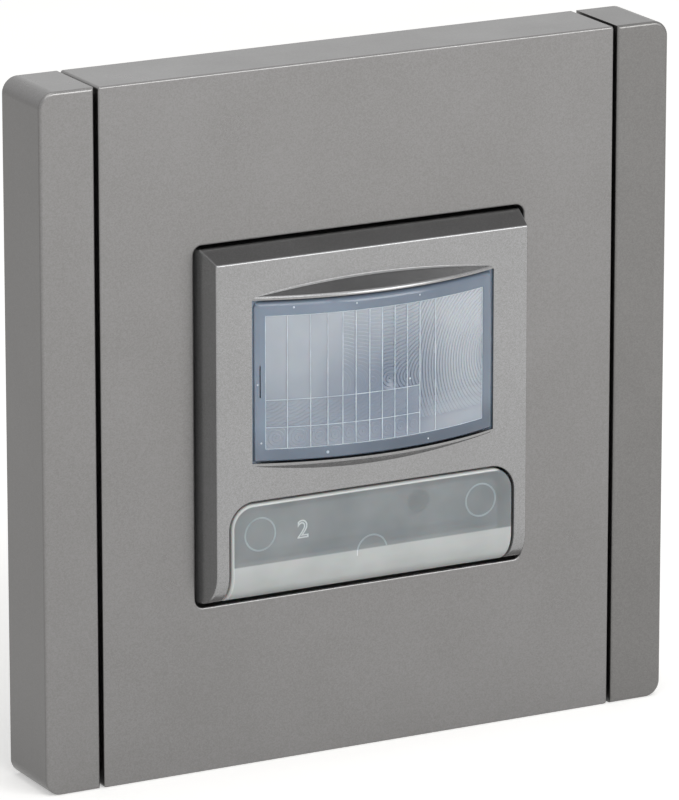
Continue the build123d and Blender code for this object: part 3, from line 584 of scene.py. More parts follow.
def finishes() -> dict[Slot, Finish]:
    """The finish of each of the record's slots.

    Returns:
        A finish by slot.
    """
    fuse_low, fuse_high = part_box("fuse")
    # after the two tones, a plastic has its roughness and its grain, a metal its roughness and its patches,
    # and a milky plastic its veil and its roughness
    return {
        # sprayed magnesium-grey lacquer on the cover panels, with painted shade on their sides and tops
        Slot.COVER: FlakePaint("flake_lacquer_magnesium_grey", "7e7d7c", "888787"),
        # the module front has the same lacquer one shade lighter and finer, with stronger painted shade on its
        # upward faces
        Slot.BEZEL: FlakePaint("flake_lacquer_silver_grey", "8c8c8c", "9a9a9b", 0.98, 0.25, 0.12,
                               side_painted_shade=0.0, top_painted_shade=0.4, side_dull=0.4),
        # glass-filled polyamide straight from the tool: dead matt in the seams
        Slot.CARRIER: MouldedPlastic("black_glass_filled_polyamide", "070708", "111112", 0.72, 0.3),
        # hot-dip galvanised strip: a faint spangle
        Slot.ZINC: RolledMetal("galvanised_steel_strip", "969a9d", "b4b8bb", 0.36, 2.4),
        # the thick polished border has painted shade towards its foot and its right end
        Slot.LENS: LensPlastic("milky_polyethylene_rim", "5f6c7d", "93a2b5", 0.84, 0.16, rise_mm=(-3.5, 1.0),
                               rise=(0.38, 0.77), aside_mm=(-14.0, 8.0), aside=-0.4, sensor_shade=0.0),
        # frost on the inner face blurs the bay behind it; the bay's painted shade, a painted glow below the
        # band and a painted highlight along the edges
        Slot.KEY: KeyPlastic("frosted_polycarbonate", "92999d", "d3d7d6", 0.72, 0.22, veil_spread=0.16),
        # opal acrylic: an even, soft white that spreads the lamp's light
        Slot.GUIDE: MilkyPlastic("opal_acrylic_guide", "b9c2c4", "dbe1e1", 0.9, 0.2),
        # white polyester: matt walls that light the lens from behind
        Slot.RETAINER: MouldedPlastic("white_polyester_throat", "a9b0b6", "c9cfd4", 0.45, 0.3),
        # solder resist over copper: glossy green with raised lanes
        Slot.BOARD: Laminate("glass_epoxy_laminate", "0c3a22", "1d6a3d"),
        # glass-filled polybutylene: black with a soft sheen, as on switches and pin strips
        Slot.BLACK_PART: MouldedPlastic("black_polybutylene", "141415", "262628", 0.45, 0.2),
        # acetal: warm white with a waxy gloss
        Slot.BUTTON: MouldedPlastic("ivory_acetal_button", "cfccc0", "e0ddd2", 0.35, 0.2),
        # drawn steel can with nickel plate: nearly mirror-bright
        Slot.CAN: RolledMetal("nickel_plated_can", "a59f96", "d2ccc2", 0.2, 1.4),
        # coated silicon: a dark, almost polished window
        Slot.FILTER: MouldedPlastic("coated_silicon_filter", "0b080d", "1d1522", 0.12, 0.5, 0.001),
        # cadmium film under resin: a rust-red track in a pale ground
        Slot.CELL: CellFace("sintered_cell_face", "7d2a14", "d8c7a0"),
        # cast epoxy: almost clear, with a wet gloss
        Slot.LED: MilkyPlastic("water_clear_epoxy", "b9bbb4", "dcded6", 0.5, 0.1),
        # acetal again: white turned parts with a waxy gloss
        Slot.DIAL: MouldedPlastic("white_acetal", "c8c8c2", "e2e2dc", 0.4, 0.25, 0.004),
        # moulded polyester: the saturated blue of trimmer bodies, smooth
        Slot.TRIMMER: MouldedPlastic("blue_polyester", "143a7c", "2457a8", 0.4, 0.25, 0.004),
        # polycarbonate shells with a spark-eroded grain: satin, the inner one dark, the rear one light
        Slot.HOUSING: MouldedPlastic("anthracite_polycarbonate", "1c1d1f", "303235", 0.5, 0.3),
        Slot.REAR: MouldedPlastic("light_grey_polycarbonate", "a9aaa8", "c6c7c5", 0.48, 0.3),
        # smooth mouldings with sharp highlights: a blue relay case and an ochre capacitor box
        Slot.RELAY: MouldedPlastic("blue_relay_case", "16335f", "27508c", 0.38, 0.3, 0.004),
        Slot.FILM: MouldedPlastic("ochre_capacitor_box", "a9791f", "c99a38", 0.4, 0.3, 0.004),
        # shrunk sleeve: taut and glossy, with slow ripples
        Slot.SLEEVE: MouldedPlastic("shrunk_pvc_sleeve", "101a38", "1e2c57", 0.25, 1.2, 0.004),
        # dipped epoxy: a thick glossy skin with runs
        Slot.DISC: MouldedPlastic("dipped_blue_epoxy", "14407f", "2963b4", 0.22, 1.6, 0.012),
        # drawn glass with a smear inside, between bright nickel caps
        Slot.FUSE: CappedGlass("glass_fuse_with_caps", "9aa49c", "c9d0c6", fuse_low.x, fuse_high.x),
        # shrunk sleeve over ferrite: near-black and satin
        Slot.CHOKE: MouldedPlastic("sleeved_ferrite_drum", "151517", "2a2a2d", 0.42, 0.4),
        # flame-proof polyamide: dark grey with a fine matt grain
        Slot.TERMINAL: MouldedPlastic("dark_grey_polyamide", "2b2d2f", "414447", 0.5, 0.3),
        # stamped and tumbled brass
        Slot.BRASS: RolledMetal("stamped_brass", "a98743", "cfb06a", 0.3, 1.0),
        # bright zinc on turned steel
        Slot.SCREW: RolledMetal("bright_zinc_plate", "a5a8ac", "cfd2d6", 0.26, 0.8),
    }


class Wardrobe:
    """Makes each material once and hands it out."""

    def __init__(self, by_slot: dict[Slot, Finish]) -> None:
        """Keeps the finishes until they are asked for."""
        self.by_slot = by_slot
        self.made: dict[str, bpy.types.Material] = {}

    def of(self, wanted: Slot | Finish) -> bpy.types.Material:
        """The material of a slot, or of a finish of its own.

        Args:
            wanted: a slot, or a finish that no slot has.

        Returns:
            The material, made at its first use.
        """
        finish = self.by_slot[wanted] if isinstance(wanted, Slot) else wanted
        if finish.title not in self.made:
            self.made[finish.title] = finish.build()
        return self.made[finish.title]


# Modelling helpers

def deselect() -> None:
    """Leaves edit mode and drops every selection."""
    if bpy.context.object and bpy.context.object.mode != "OBJECT":
        bpy.ops.object.mode_set(mode="OBJECT")
    bpy.ops.object.select_all(action="DESELECT")


def select_only(pieces: list[Piece]) -> None:
    """Selects these objects and makes the first one active.

    Args:
        pieces: the objects.
    """
    deselect()
    for piece in pieces:
        piece.select_set(True)
    bpy.context.view_layer.objects.active = pieces[0]


def edit(piece: Piece) -> None:
    """Goes into edit mode on one object."""
    select_only([piece])
    bpy.ops.object.mode_set(mode="EDIT")


def select_mesh() -> None:
    """Selects the whole mesh in edit mode."""
    bpy.ops.mesh.select_all(action="SELECT")


def pick(piece: Piece, kind: str, test: Callable[..., bool]) -> None:
    """Selects the faces, edges or vertices of the object in edit mode that pass a test.

    Args:
        piece: the object in edit mode.
        kind: FACE, EDGE or VERT.
        test: says yes to the wanted ones.
    """
    bpy.ops.mesh.select_mode(type=kind)
    bpy.ops.mesh.select_all(action="DESELECT")
    mesh = bmesh.from_edit_mesh(piece.data)
    for item in {"FACE": mesh.faces, "EDGE": mesh.edges, "VERT": mesh.verts}[kind]:
        if test(item):
            item.select_set(True)
    mesh.select_flush_mode()
    bmesh.update_edit_mesh(piece.data)


def looks_forward(face: bmesh.types.BMFace) -> bool:
    """Whether a face looks to the front."""
    return face.normal.y < -SQUARELY


def extrude(x: float, y: float, z: float) -> None:
    """Extrudes the selection in edit mode by so many millimetres."""
    bpy.ops.mesh.extrude_region_move(TRANSFORM_OT_translate={"value": (x * MM, y * MM, z * MM)})


def bevel(radius: float, segments: int) -> None:
    """Rounds the selected edges in edit mode by a radius in millimetres."""
    bpy.ops.mesh.bevel(offset=radius * MM, segments=segments, affect="EDGES")


def merge(reach: float) -> None:
    """Merges the vertices in edit mode that are nearer than so many millimetres."""
    select_mesh()
    bpy.ops.mesh.remove_doubles(threshold=reach * MM)


def turn_outwards() -> None:
    """Turns every face in edit mode outwards."""
    select_mesh()
    bpy.ops.mesh.normals_make_consistent(inside=False)


def cut(axis: int, at: float, drop: int = 0, fill: bool = False) -> None:
    """Cuts the mesh in edit mode straight across one axis.

    Args:
        axis: 0 for a cut at one x, 2 for one at one z.
        at: where, in millimetres.
        drop: 1 to drop what lies beyond the cut, -1 to drop what lies before it.
        fill: closes the cut.
    """
    place, normal = [0.0] * 3, [0.0] * 3
    place[axis], normal[axis] = at * MM, drop or 1
    select_mesh()
    bpy.ops.mesh.bisect(plane_co=place, plane_no=normal, clear_outer=drop != 0, use_fill=fill)


def fix_place() -> Piece:
    """Puts the selected object's place, turn and scale into its mesh and gives the object."""
    bpy.ops.object.transform_apply(location=True, rotation=True, scale=True)
    return bpy.context.object


def settle(piece: Piece, name: str) -> Piece:
    """Names a piece and puts its place, turn and scale into its mesh.

    Args:
        piece: the object.
        name: its name from now on.

    Returns:
        The same object.
    """
    select_only([piece])
    fix_place()
    piece.name = name
    piece.data.name = name
    return piece


def join(pieces: list[Piece]) -> Piece:
    """Joins objects into the first one.

    Args:
        pieces: the objects, all meshes.

    Returns:
        The first object, with the others in it.
    """
    select_only(pieces)
    bpy.ops.object.join()
    return pieces[0]


def add_block(xs: Pair, ys: Pair, zs: Pair) -> Piece:
    """A box between two places on each axis, in millimetres.

    Args:
        xs: left and right.
        ys: front and back.
        zs: bottom and top.

    Returns:
        The box, with its size in its mesh.
    """
    deselect()
    middle = [(low + high) / 2 * MM for low, high in (xs, ys, zs)]
    size = [(high - low) * MM for low, high in (xs, ys, zs)]
    bpy.ops.mesh.primitive_cube_add(size=1, location=middle, scale=size)
    return fix_place()


def add_digit(digit: str, place: Triple, turn: Triple, size: float, shape: dict[str, object]) -> Piece:
    """A centred digit in Blender's own plain letter shapes.

    Args:
        digit: the digit.
        place: its middle, in millimetres.
        turn: its Euler angles.
        size: its height, in millimetres.
        shape: attributes of the text that give it its body.

    Returns:
        The digit as a mesh.
    """
    deselect()
    bpy.ops.object.text_add(rotation=turn, location=[value * MM for value in place])
    text = bpy.context.object.data
    for name, value in {"body": digit, "size": size * MM, "align_x": "CENTER", "align_y": "CENTER",
                        "resolution_u": 6, **shape}.items():
        setattr(text, name, value)
    bpy.ops.object.convert(target="MESH")
    return fix_place()


def smooth(piece: Piece, degrees: float = 35.0) -> None:
    """Shades a piece smooth up to an edge angle."""
    select_only([piece])
    bpy.ops.object.shade_smooth_by_angle(angle=math.radians(degrees))


@dataclass
class SubAssembly(ABC):
    """What every sub-assembly can do: dress CAD nodes and add new pieces."""

    wardrobe: Wardrobe

    def dress(self, wears: dict[str, Slot | Finish]) -> None:
        """Gives CAD nodes their finish in every material place.

        Args:
            wears: the record's slot, or a finish of its own, by the node's name.
        """
        for node, wanted in wears.items():
            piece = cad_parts[node]
            material = self.wardrobe.of(wanted)
            if not piece.data.materials:
                piece.data.materials.append(material)
            for place in range(len(piece.data.materials)):
                piece.data.materials[place] = material
            log.info("%s wears %s", node, material.name)

    def coat(self, wanted: Slot | Finish, pieces: list[Piece]) -> list[Piece]:
        """Gives new pieces a finish before they are joined.

        Args:
            wanted: a slot, or a finish of its own.
            pieces: the pieces, still without one.

        Returns:
            The same pieces.
        """
        for piece in pieces:
            piece.data.materials.append(self.wardrobe.of(wanted))
        return pieces

    def add(self, piece: Piece, body: Body, slot: Slot) -> None:
        """Puts a new piece on its body.

        Args:
            piece: the finished object, with its materials.
            body: what it rides on.
            slot: the record's slot of its finish; not used.
        """
        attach(piece, body.value)
        log.info("%s: %d faces on %s", piece.name, len(piece.data.polygons), body.value)

    @abstractmethod
    def build(self) -> None:
        """Models and dresses the whole sub-assembly."""


# Cover and frame

@dataclass
class Cover(SubAssembly):
    """The three lacquered panels, their dark carrier and the steel frame behind."""

    def build(self) -> None:
        """Dresses the panels, the carrier and the frame."""
        # the right bar wears a darker copy of the same lacquer: painted shade
        darker = FlakePaint("flake_lacquer_painted_shade", "727170", "7c7b7a")
        self.dress({"centre_plate": Slot.COVER, "left_side_bar": Slot.COVER, "right_side_bar": darker,
                    "plate_carrier": Slot.CARRIER, "support_frame": Slot.ZINC})


# Lens

@dataclass(frozen=True)
class Facet:
    """One small lens of the field: its rectangle on the flat sheet, its rings' middle and their relief."""

    left: float
    right: float
    low: float
    high: float
    ring_x: float
    ring_z: float
    relief: float


@dataclass
class LensCover(SubAssembly):
    """The arched lens: a smooth border round a sunk field of ringed lenses, modelled flat, then bent."""

    half_width: float = 16.45
    half_height: float = 10.0
    middle_z: float = 5.85
    apex_y: float = -16.9
    bulge: float = 3.3
    thickness: float = 1.3
    border: float = 1.75
    # the border is narrower by this much at the left and below
    left_gain: float = 0.32
    low_gain: float = 0.2
    field_sink: float = 0.3
    facet_front: float = 0.12
    # the backs of the facets and ridges clear the sunk floor by this much
    facet_gap: float = 0.01
    rib_gap: float = 0.005
    rim_top_bevel: float = 0.85
    rim_bevel: float = 0.3
    flange_reach: float = 0.9
    flange_thickness: float = 1.0
    ring_pitch: float = 0.45
    ring_depth: float = 0.1
    ring_reach: float = 19.0
    ring_steps: int = 144
    # the flat middle and the steep side of a ring, as shares of the pitch
    ring_middle: float = 0.15
    riser_share: float = 0.12
    rib_half: float = 0.1
    row_half: float = 0.07
    # ridges stand this far out of the facets, and their crest is this share of their width
    rib_rise: float = 0.04
    crest_share: float = 0.45
    # facets reach this far under the ridges
    overlap: float = 0.15
    bend_cuts: int = 44
    slot_x: float = -15.7
    slot_z: Pair = (3.9, 7.9)
    slot_half: float = 0.07
    slot_depth: float = 0.78
    columns: tuple[float, ...] = (-12.56, -9.78, -7.65, -5.76, -4.05, -2.24, -0.53, 1.2, 2.98, 4.8, 7.14)
    rows: Pair = (0.1, 3.55)
    last_ruled_column: float = 4.8
    # top row: how much farther out than a facet its rings' middle is, right and left of the apex
    top_spread: Pair = (1.62, 1.35)
    top_ring_z: float = -0.9
    # the rings grow fainter to the left: from where each relief holds
    top_relief: tuple[Pair, ...] = ((-1.0, 1.0), (-5.0, 0.3), (-math.inf, 0.12))
    # middle row: its rings' middle beside the facet's, their height and their relief
    middle_rings: Triple = (-2.5, 1.2, 0.6)
    foot_relief: float = 0.35
    # right of the ruled columns the rings' middle lies beyond the border: a share of the field's edge,
    # a distance, and a share of the column's own place, added up
    right_ring_x: Triple = (1.02, 4.0, -0.1)
    right_ring_z: float = -0.35
    # there they fade downwards in steps: this far from the upper row once, and from the lower row twice
    right_steps: Triple = (-1.6, 0.5, -0.9)
    right_relief: tuple[float, ...] = (1.0, 0.75, 0.4, 0.12)
    # across, up and the radius
    pips: tuple[Triple, ...] = (
        (-7.7, -3.35, 0.2), (-15.6, -1.8, 0.14), (-16.0, 5.5, 0.12), (-11.8, 15.05, 0.14),
        (-4.0, 14.95, 0.13), (4.7, 14.9, 0.11), (3.3, 4.6, 0.13), (6.0, -3.4, 0.12))
    # how deep a pip's widest line is, and how flat it is in front of it and behind it
    pip_sink: float = 0.02
    pip_flatness: float = 0.4
    pip_root: float = 0.2

    @property
    def radius(self) -> float:
        """The radius of the lens's front."""
        return (self.half_width**2 + self.bulge**2) / (2 * self.bulge)

    @property
    def reach(self) -> float:
        """Half the width of the flat sheet."""
        return self.flat(self.half_width)

    @property
    def field(self) -> tuple[float, float, float, float]:
        """The field's left, right, low and high edges on the flat sheet."""
        half, height = self.reach - self.border, self.half_height - self.border
        return -half - self.left_gain, half, -height - self.low_gain, height

    def flat(self, x: float) -> float:
        """Where a place across the arched lens lies on the flat sheet."""
        return self.radius * math.asin(x / self.radius)

    def build(self) -> None:
        """Models the sheet, its facets, ribs and flange, bends it and puts it in the hood."""
        # the thin field lets more of the throat's white through than the border, with painted light and shade
        # of what is behind it; the ridges are pale as a painted highlight, and the pips share their white
        field_finish = LensPlastic("milky_polyethylene_field", "758299", "cdc9cf", 0.85, 0.28, 5.0)
        ridge_highlight_and_pip_finish = MilkyPlastic("ridge_painted_highlight_and_pip", "cdd3dc", "f0f2f5", 0.95, 0.35, 2.0)
        sheet = join([*self.coat(Slot.LENS, [self.model_rim()]),
                      *self.coat(field_finish, self.model_facets()),
                      *self.coat(ridge_highlight_and_pip_finish, [*self.model_ribs(), *self.model_pips()])])
        self.bend(sheet)
        sheet = join([sheet, *self.coat(Slot.LENS, [self.model_flange()])])
        # stray faces, which hang on the rest by one edge and have free ones
        edit(sheet)
        pick(sheet, "FACE", lambda face: any(len(side.link_faces) == 1 for side in face.edges))
        bpy.ops.mesh.delete(type="FACE")
        settle(sheet, "lens_cover")
        smooth(sheet, degrees=20)
        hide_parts("fresnel_lens")
        self.add(sheet, Body.BASE, Slot.LENS)

    def model_rim(self) -> Piece:
        """The border with its rounded edge, the sunk floor and the narrow slot at the left.

        Returns:
            The flat sheet without its facets.
        """
        sheet = add_block((-self.reach, self.reach), (0, self.thickness),
                          (-self.half_height, self.half_height))
        tiny = 0.01 * MM
        edit(sheet)
        pick(sheet, "FACE", looks_forward)
        bpy.ops.mesh.inset(thickness=self.border * MM)
        left, right, low, high = (value * MM for value in self.field)
        wider, taller = 1 + self.left_gain * MM / (2 * right), 1 + self.low_gain * MM / (2 * high)
        bpy.ops.transform.resize(value=(wider, 1, taller), center_override=(right, 0, high))
        extrude(0, self.field_sink, 0)
        width, height, depth = self.reach * MM, self.half_height * MM, self.thickness * MM
        pick(sheet, "EDGE", lambda side: all(
            abs(v.co.y) < tiny and v.co.z > height - tiny for v in side.verts))
        bevel(self.rim_top_bevel, segments=8)
        # the other edges: both ends from the foot over the rounded top to the back, and the foot
        pick(sheet, "EDGE", lambda side: all(
            abs(v.co.y) < tiny and v.co.z < tiny - height for v in side.verts)
            or (all(abs(v.co.x) > width - tiny for v in side.verts)
                and abs(sum(v.co.x for v in side.verts)) > width
                and not all(v.co.y > depth - tiny for v in side.verts)
                and not all(v.co.z < tiny - height for v in side.verts)))
        bevel(self.rim_bevel, segments=4)
        pick(sheet, "EDGE", lambda side: all(
            abs(v.co.y) < tiny and left - tiny < v.co.x < right + tiny and low - tiny < v.co.z < high + tiny
            for v in side.verts))
        bevel(self.facet_front / 2, segments=2)
        slot_x = self.flat(self.slot_x)
        foot, top = (z - self.middle_z for z in self.slot_z)
        for axis, at in ((0, slot_x - self.slot_half), (0, slot_x + self.slot_half), (2, foot), (2, top)):
            cut(axis, at)
        pick(sheet, "FACE", lambda face: looks_forward(face) and face.calc_center_median().y < tiny
             and abs(face.calc_center_median().x - slot_x * MM) < self.slot_half * MM
             and foot * MM < face.calc_center_median().z < top * MM)
        extrude(0, self.slot_depth, 0)
        self.cut_across()
        deselect()
        return sheet

    def cut_across(self) -> None:
        """Divides the mesh in edit mode into the strips that the bend needs."""
        for count in range(1, self.bend_cuts):
            cut(0, (2 * count / self.bend_cuts - 1) * self.reach)

    def facets(self) -> list[Facet]:
        """The small lenses, column by column.

        Returns:
            Every facet with the middle of its rings.
        """
        first, inner_x, low, high = self.field
        edges = [first, *(self.flat(x) for x in self.columns), inner_x]
        lower, upper = (z - self.middle_z for z in self.rows)
        share, beyond, fall = self.right_ring_x
        steps = (high, *(row + drop for row, drop in zip((upper, lower, lower), self.right_steps)), low)
        aside, ring_z, relief = self.middle_rings
        made = []
        for left, right in zip(edges, edges[1:]):
            middle = (left + right) / 2
            if left > self.flat(self.last_ruled_column) - self.rib_half:
                ring_x = share * inner_x + beyond + fall * middle
                made += [Facet(left, right, foot, top, ring_x, self.right_ring_z, strength)
                         for top, foot, strength in zip(steps, steps[1:], self.right_relief)]
                continue
            ring_x = self.top_spread[middle <= 0] * middle
            strength = next(strength for start, strength in self.top_relief if middle > start)
            made += [Facet(left, right, upper, high, ring_x, self.top_ring_z, strength),
                     Facet(left, right, lower, upper, middle + aside, ring_z, relief),
                     Facet(left, right, low, lower, middle, (low + lower) / 2, self.foot_relief)]
        return made

    def model_rings(self) -> Piece:
        """A disc of saw-tooth rings, spun from its profile and facing the front.

        Returns:
            The disc about the origin, with its crests at y = 0.
        """
        deselect()
        bpy.ops.mesh.primitive_plane_add(size=self.ring_pitch * MM)
        disc = bpy.context.object
        edit(disc)
        pick(disc, "VERT", lambda vert: vert.index > 0)
        bpy.ops.mesh.delete(type="VERT")
        select_mesh()
        mesh = bmesh.from_edit_mesh(disc.data)
        mesh.verts.ensure_lookup_table()
        mesh.verts[0].co = (self.ring_middle * self.ring_pitch * MM, 0, 0)
        bmesh.update_edit_mesh(disc.data)
        riser = self.riser_share * self.ring_pitch
        for _ in range(int(self.ring_reach / self.ring_pitch)):
            extrude(riser, self.ring_depth, 0)
            extrude(self.ring_pitch - riser, -self.ring_depth, 0)
        select_mesh()
        bpy.ops.mesh.spin(steps=self.ring_steps, angle=WHOLE_TURN, center=(0, 0, 0), axis=(0, 1, 0))
        merge(reach=0.002)
        pick(disc, "EDGE", lambda side: side.is_boundary
             and all(v.co.length < self.ring_pitch * MM / 2 for v in side.verts))
        bpy.ops.mesh.edge_face_add()
        turn_outwards()
        mesh = bmesh.from_edit_mesh(disc.data)
        if sum(face.normal.y * face.calc_area() for face in mesh.faces) > 0:
            bpy.ops.mesh.flip_normals()
        deselect()
        return disc

    def model_facets(self) -> list[Piece]:
        """Each facet, cut from its own copy of the rings and given a wall.

        Returns:
            The facets on the flat sheet.
        """
        rings = self.model_rings()
        made = []
        for facet in self.facets():
            piece = rings.copy()
            piece.data = rings.data.copy()
            bpy.context.scene.collection.objects.link(piece)
            piece.data.transform(Matrix.Diagonal((1, facet.relief, 1, 1)))
            piece.data.transform(Matrix.Translation(
                (facet.ring_x * MM, self.facet_front * MM, facet.ring_z * MM)))
            edit(piece)
            for axis, at, side in ((0, facet.left, -1), (0, facet.right, 1),
                                   (2, facet.low, -1), (2, facet.high, 1)):
                cut(axis, at + side * self.overlap, side)
            select_mesh()
            extrude(0, self.field_sink - self.facet_front - self.ring_depth - self.facet_gap, 0)
            turn_outwards()
            deselect()
            made.append(piece)
        bpy.data.objects.remove(rings)
        log.info("%d facets", len(made))
        return made

    def model_ribs(self) -> list[Piece]:
        """The fine ridges round and between the facets.

        Returns:
            One ridge for each line of the field.
        """
        first, inner_x, low, high = self.field
        width = 2 * self.rib_half / 3
        # left and right, low and high, and the axis in which a ridge narrows to a crest
        plans = [((first, first + width), (low, high), None), ((inner_x - width, inner_x), (low, high), None),
                 ((first, inner_x), (low, low + width), None), ((first, inner_x), (high - width, high), None)]
        for middle in map(self.flat, self.columns):
            plans.append(((middle - self.rib_half, middle + self.rib_half), (low, high), 0))
        for level in (row - self.middle_z for row in self.rows):
            plans.append(((first, self.flat(self.last_ruled_column)),
                          (level - self.row_half, level + self.row_half), 2))
        made = []
        for xs, zs, axis in plans:
            rib = add_block(xs, (self.facet_front - self.rib_rise, self.field_sink - self.rib_gap), zs)
            edit(rib)
            if axis is not None:
                self.sharpen(rib, axis)
            if axis != 0:
                self.cut_across()
            deselect()
            made.append(rib)
        return made

    def sharpen(self, rib: Piece, axis: int) -> None:
        """Draws a ridge's front face in to a narrow crest.

        Args:
            rib: the ridge in edit mode.
            axis: 0 for an upright one, 2 for one that runs across.
        """
        pick(rib, "FACE", looks_forward)
        narrow = [1.0, 1.0, 1.0]
        narrow[axis] = self.crest_share
        front = next(face for face in bmesh.from_edit_mesh(rib.data).faces if face.select)
        bpy.ops.transform.resize(value=narrow, center_override=front.calc_center_median())

    def model_pips(self) -> list[Piece]:
        """The small moulding pips on the border and the field.

        Returns:
            Low round pips on the flat sheet.
        """
        made = []
        for x, z, size in self.pips:
            deselect()
            bpy.ops.mesh.primitive_uv_sphere_add(
                segments=12, ring_count=6, radius=size * MM, scale=(1, self.pip_flatness, 1),
                location=(self.flat(x) * MM, self.pip_sink * MM, (z - self.middle_z) * MM))
            pip = fix_place()
            edit(pip)
            pick(pip, "VERT", lambda vert: vert.co.y > self.pip_sink * MM)
            bpy.ops.transform.resize(value=(1, self.pip_root, 1), center_override=(0, self.pip_sink * MM, 0))
            deselect()
            made.append(pip)
        return made

    def bend(self, sheet: Piece) -> None:
        """Bends the flat sheet about the lens's upright axis and carries it to its place.

        Args:
            sheet: the flat sheet, which spans the whole width.
        """
        select_only([sheet])
        modifier = sheet.modifiers.new("arch", "SIMPLE_DEFORM")
        modifier.deform_method = "BEND"
        modifier.deform_axis = "Z"
        modifier.angle = 2 * math.asin(self.half_width / self.radius)
        bpy.ops.object.modifier_apply(modifier=modifier.name)
        sheet.location = (0, self.apex_y * MM, self.middle_z * MM)
        fix_place()

    def model_flange(self) -> Piece:
        """The flat flange that seats the lens behind the hood.

        Returns:
            A rectangular ring.
        """
        outer_x, outer_z = self.half_width + self.flange_reach, self.half_height + self.flange_reach
        back = self.apex_y + self.bulge + self.thickness
        flange = add_block((-outer_x, outer_x), (back - self.flange_thickness, back),
                           (self.middle_z - outer_z, self.middle_z + outer_z))
        edit(flange)
        pick(flange, "FACE", lambda face: abs(face.normal.y) > SQUARELY)
        # its inner edge lies in the lens's wall
        under = 2 * self.thickness / 3
        bpy.ops.mesh.inset(thickness=(self.flange_reach + under) * MM, use_individual=True)
        bpy.ops.mesh.bridge_edge_loops()
        turn_outwards()
        deselect()
        return flange


# Module front

@dataclass
class ModuleFront(SubAssembly):
    """The silver front with the fillets at its hood, and what stands behind it."""

    face_y: float = -13.6
    hood_middle_z: float = 5.85
    hood_half: float = 10.58
    hood_slope: float = 0.3182
    hood_radius: float = 42.65
    axis_depth: float = 39.35
    bead_reach: float = 15.9
    bead_steps: int = 64
    # forward of the face and outward from the ramp's foot, from the buried corner round to the ramp
    upper_bead: tuple[Pair, ...] = (
        (-0.05, -0.05), (-0.05, 0.2), (0.004, 0.2), (0.06, 0.084), (0.124, 0.024), (0.2, -0.05))
    lower_bead: tuple[Pair, ...] = (
        (-0.05, -0.9), (-0.05, 0.6), (0.01, 0.56), (0.22, 0.3), (0.8, -0.04), (2.2, -0.68))
    upper_taper: float = 0.35
    lower_taper: float = 1.0

    def build(self) -> None:
        """Dresses the front's nodes and adds the two hood fillets."""
        self.dress({"front_bezel": Slot.BEZEL, "fresnel_lens": Slot.LENS, "lens_retainer": Slot.RETAINER})
        for up, bead, taper, name in ((1, self.upper_bead, self.upper_taper, "hood_upper_fillet"),
                                      (-1, self.lower_bead, self.lower_taper, "hood_lower_fillet")):
            fillet = settle(self.model_bead(up, bead, taper), name)
            self.coat(Slot.BEZEL, [fillet])
            self.add(fillet, Body.BASE, Slot.BEZEL)

    def depth(self, x: float) -> float:
        """How far the hood stands in front of the flat face."""
        return self.hood_radius - math.hypot(x, self.axis_depth)

    def junction(self, x: float) -> float:
        """How far from the hood's middle its ramp meets the flat face."""
        return self.hood_half + self.hood_slope * self.depth(x)

    def model_bead(self, up: int, bead: tuple[Pair, ...], taper: float) -> Piece:
        """The concave fillet where the hood's ramp meets the face, swept along it and drawn to a point.

        Args:
            up: 1 for the upper ramp, -1 for the lower one.
            bead: its cross-section.
            taper: how fast it shrinks with the hood's depth.

        Returns:
            The swept piece.
        """
        deselect()
        bpy.ops.mesh.primitive_circle_add(vertices=len(bead), radius=MM, fill_type="NGON")
        piece = bpy.context.object
        edit(piece)
        mesh = bmesh.from_edit_mesh(piece.data)
        start = -self.bead_reach
        for vert, (forward, outward) in zip(mesh.verts, bead):
            vert.co = (start * MM, (self.face_y - forward) * MM,
                       (self.hood_middle_z + up * (self.junction(start) + outward)) * MM)
        bmesh.update_edit_mesh(piece.data)
        places = [start + 2 * self.bead_reach * count / self.bead_steps
                  for count in range(self.bead_steps + 1)]
        for last, following in zip(places, places[1:]):
            extrude(following - last, 0, up * (self.junction(following) - self.junction(last)))
        mesh = bmesh.from_edit_mesh(piece.data)
        least = self.depth(self.bead_reach)
        for vert in mesh.verts:
            x = vert.co.x / MM
            keep = max(0.0, (self.depth(x) - least) / (self.depth(0) - least)) ** taper
            level = self.hood_middle_z + up * self.junction(x)
            vert.co.y = (self.face_y + (vert.co.y / MM - self.face_y) * keep) * MM
            vert.co.z = (level + (vert.co.z / MM - level) * keep) * MM
        bmesh.update_edit_mesh(piece.data)
        merge(reach=0.003)
        turn_outwards()
        deselect()
        smooth(piece, degrees=60)
        return piece


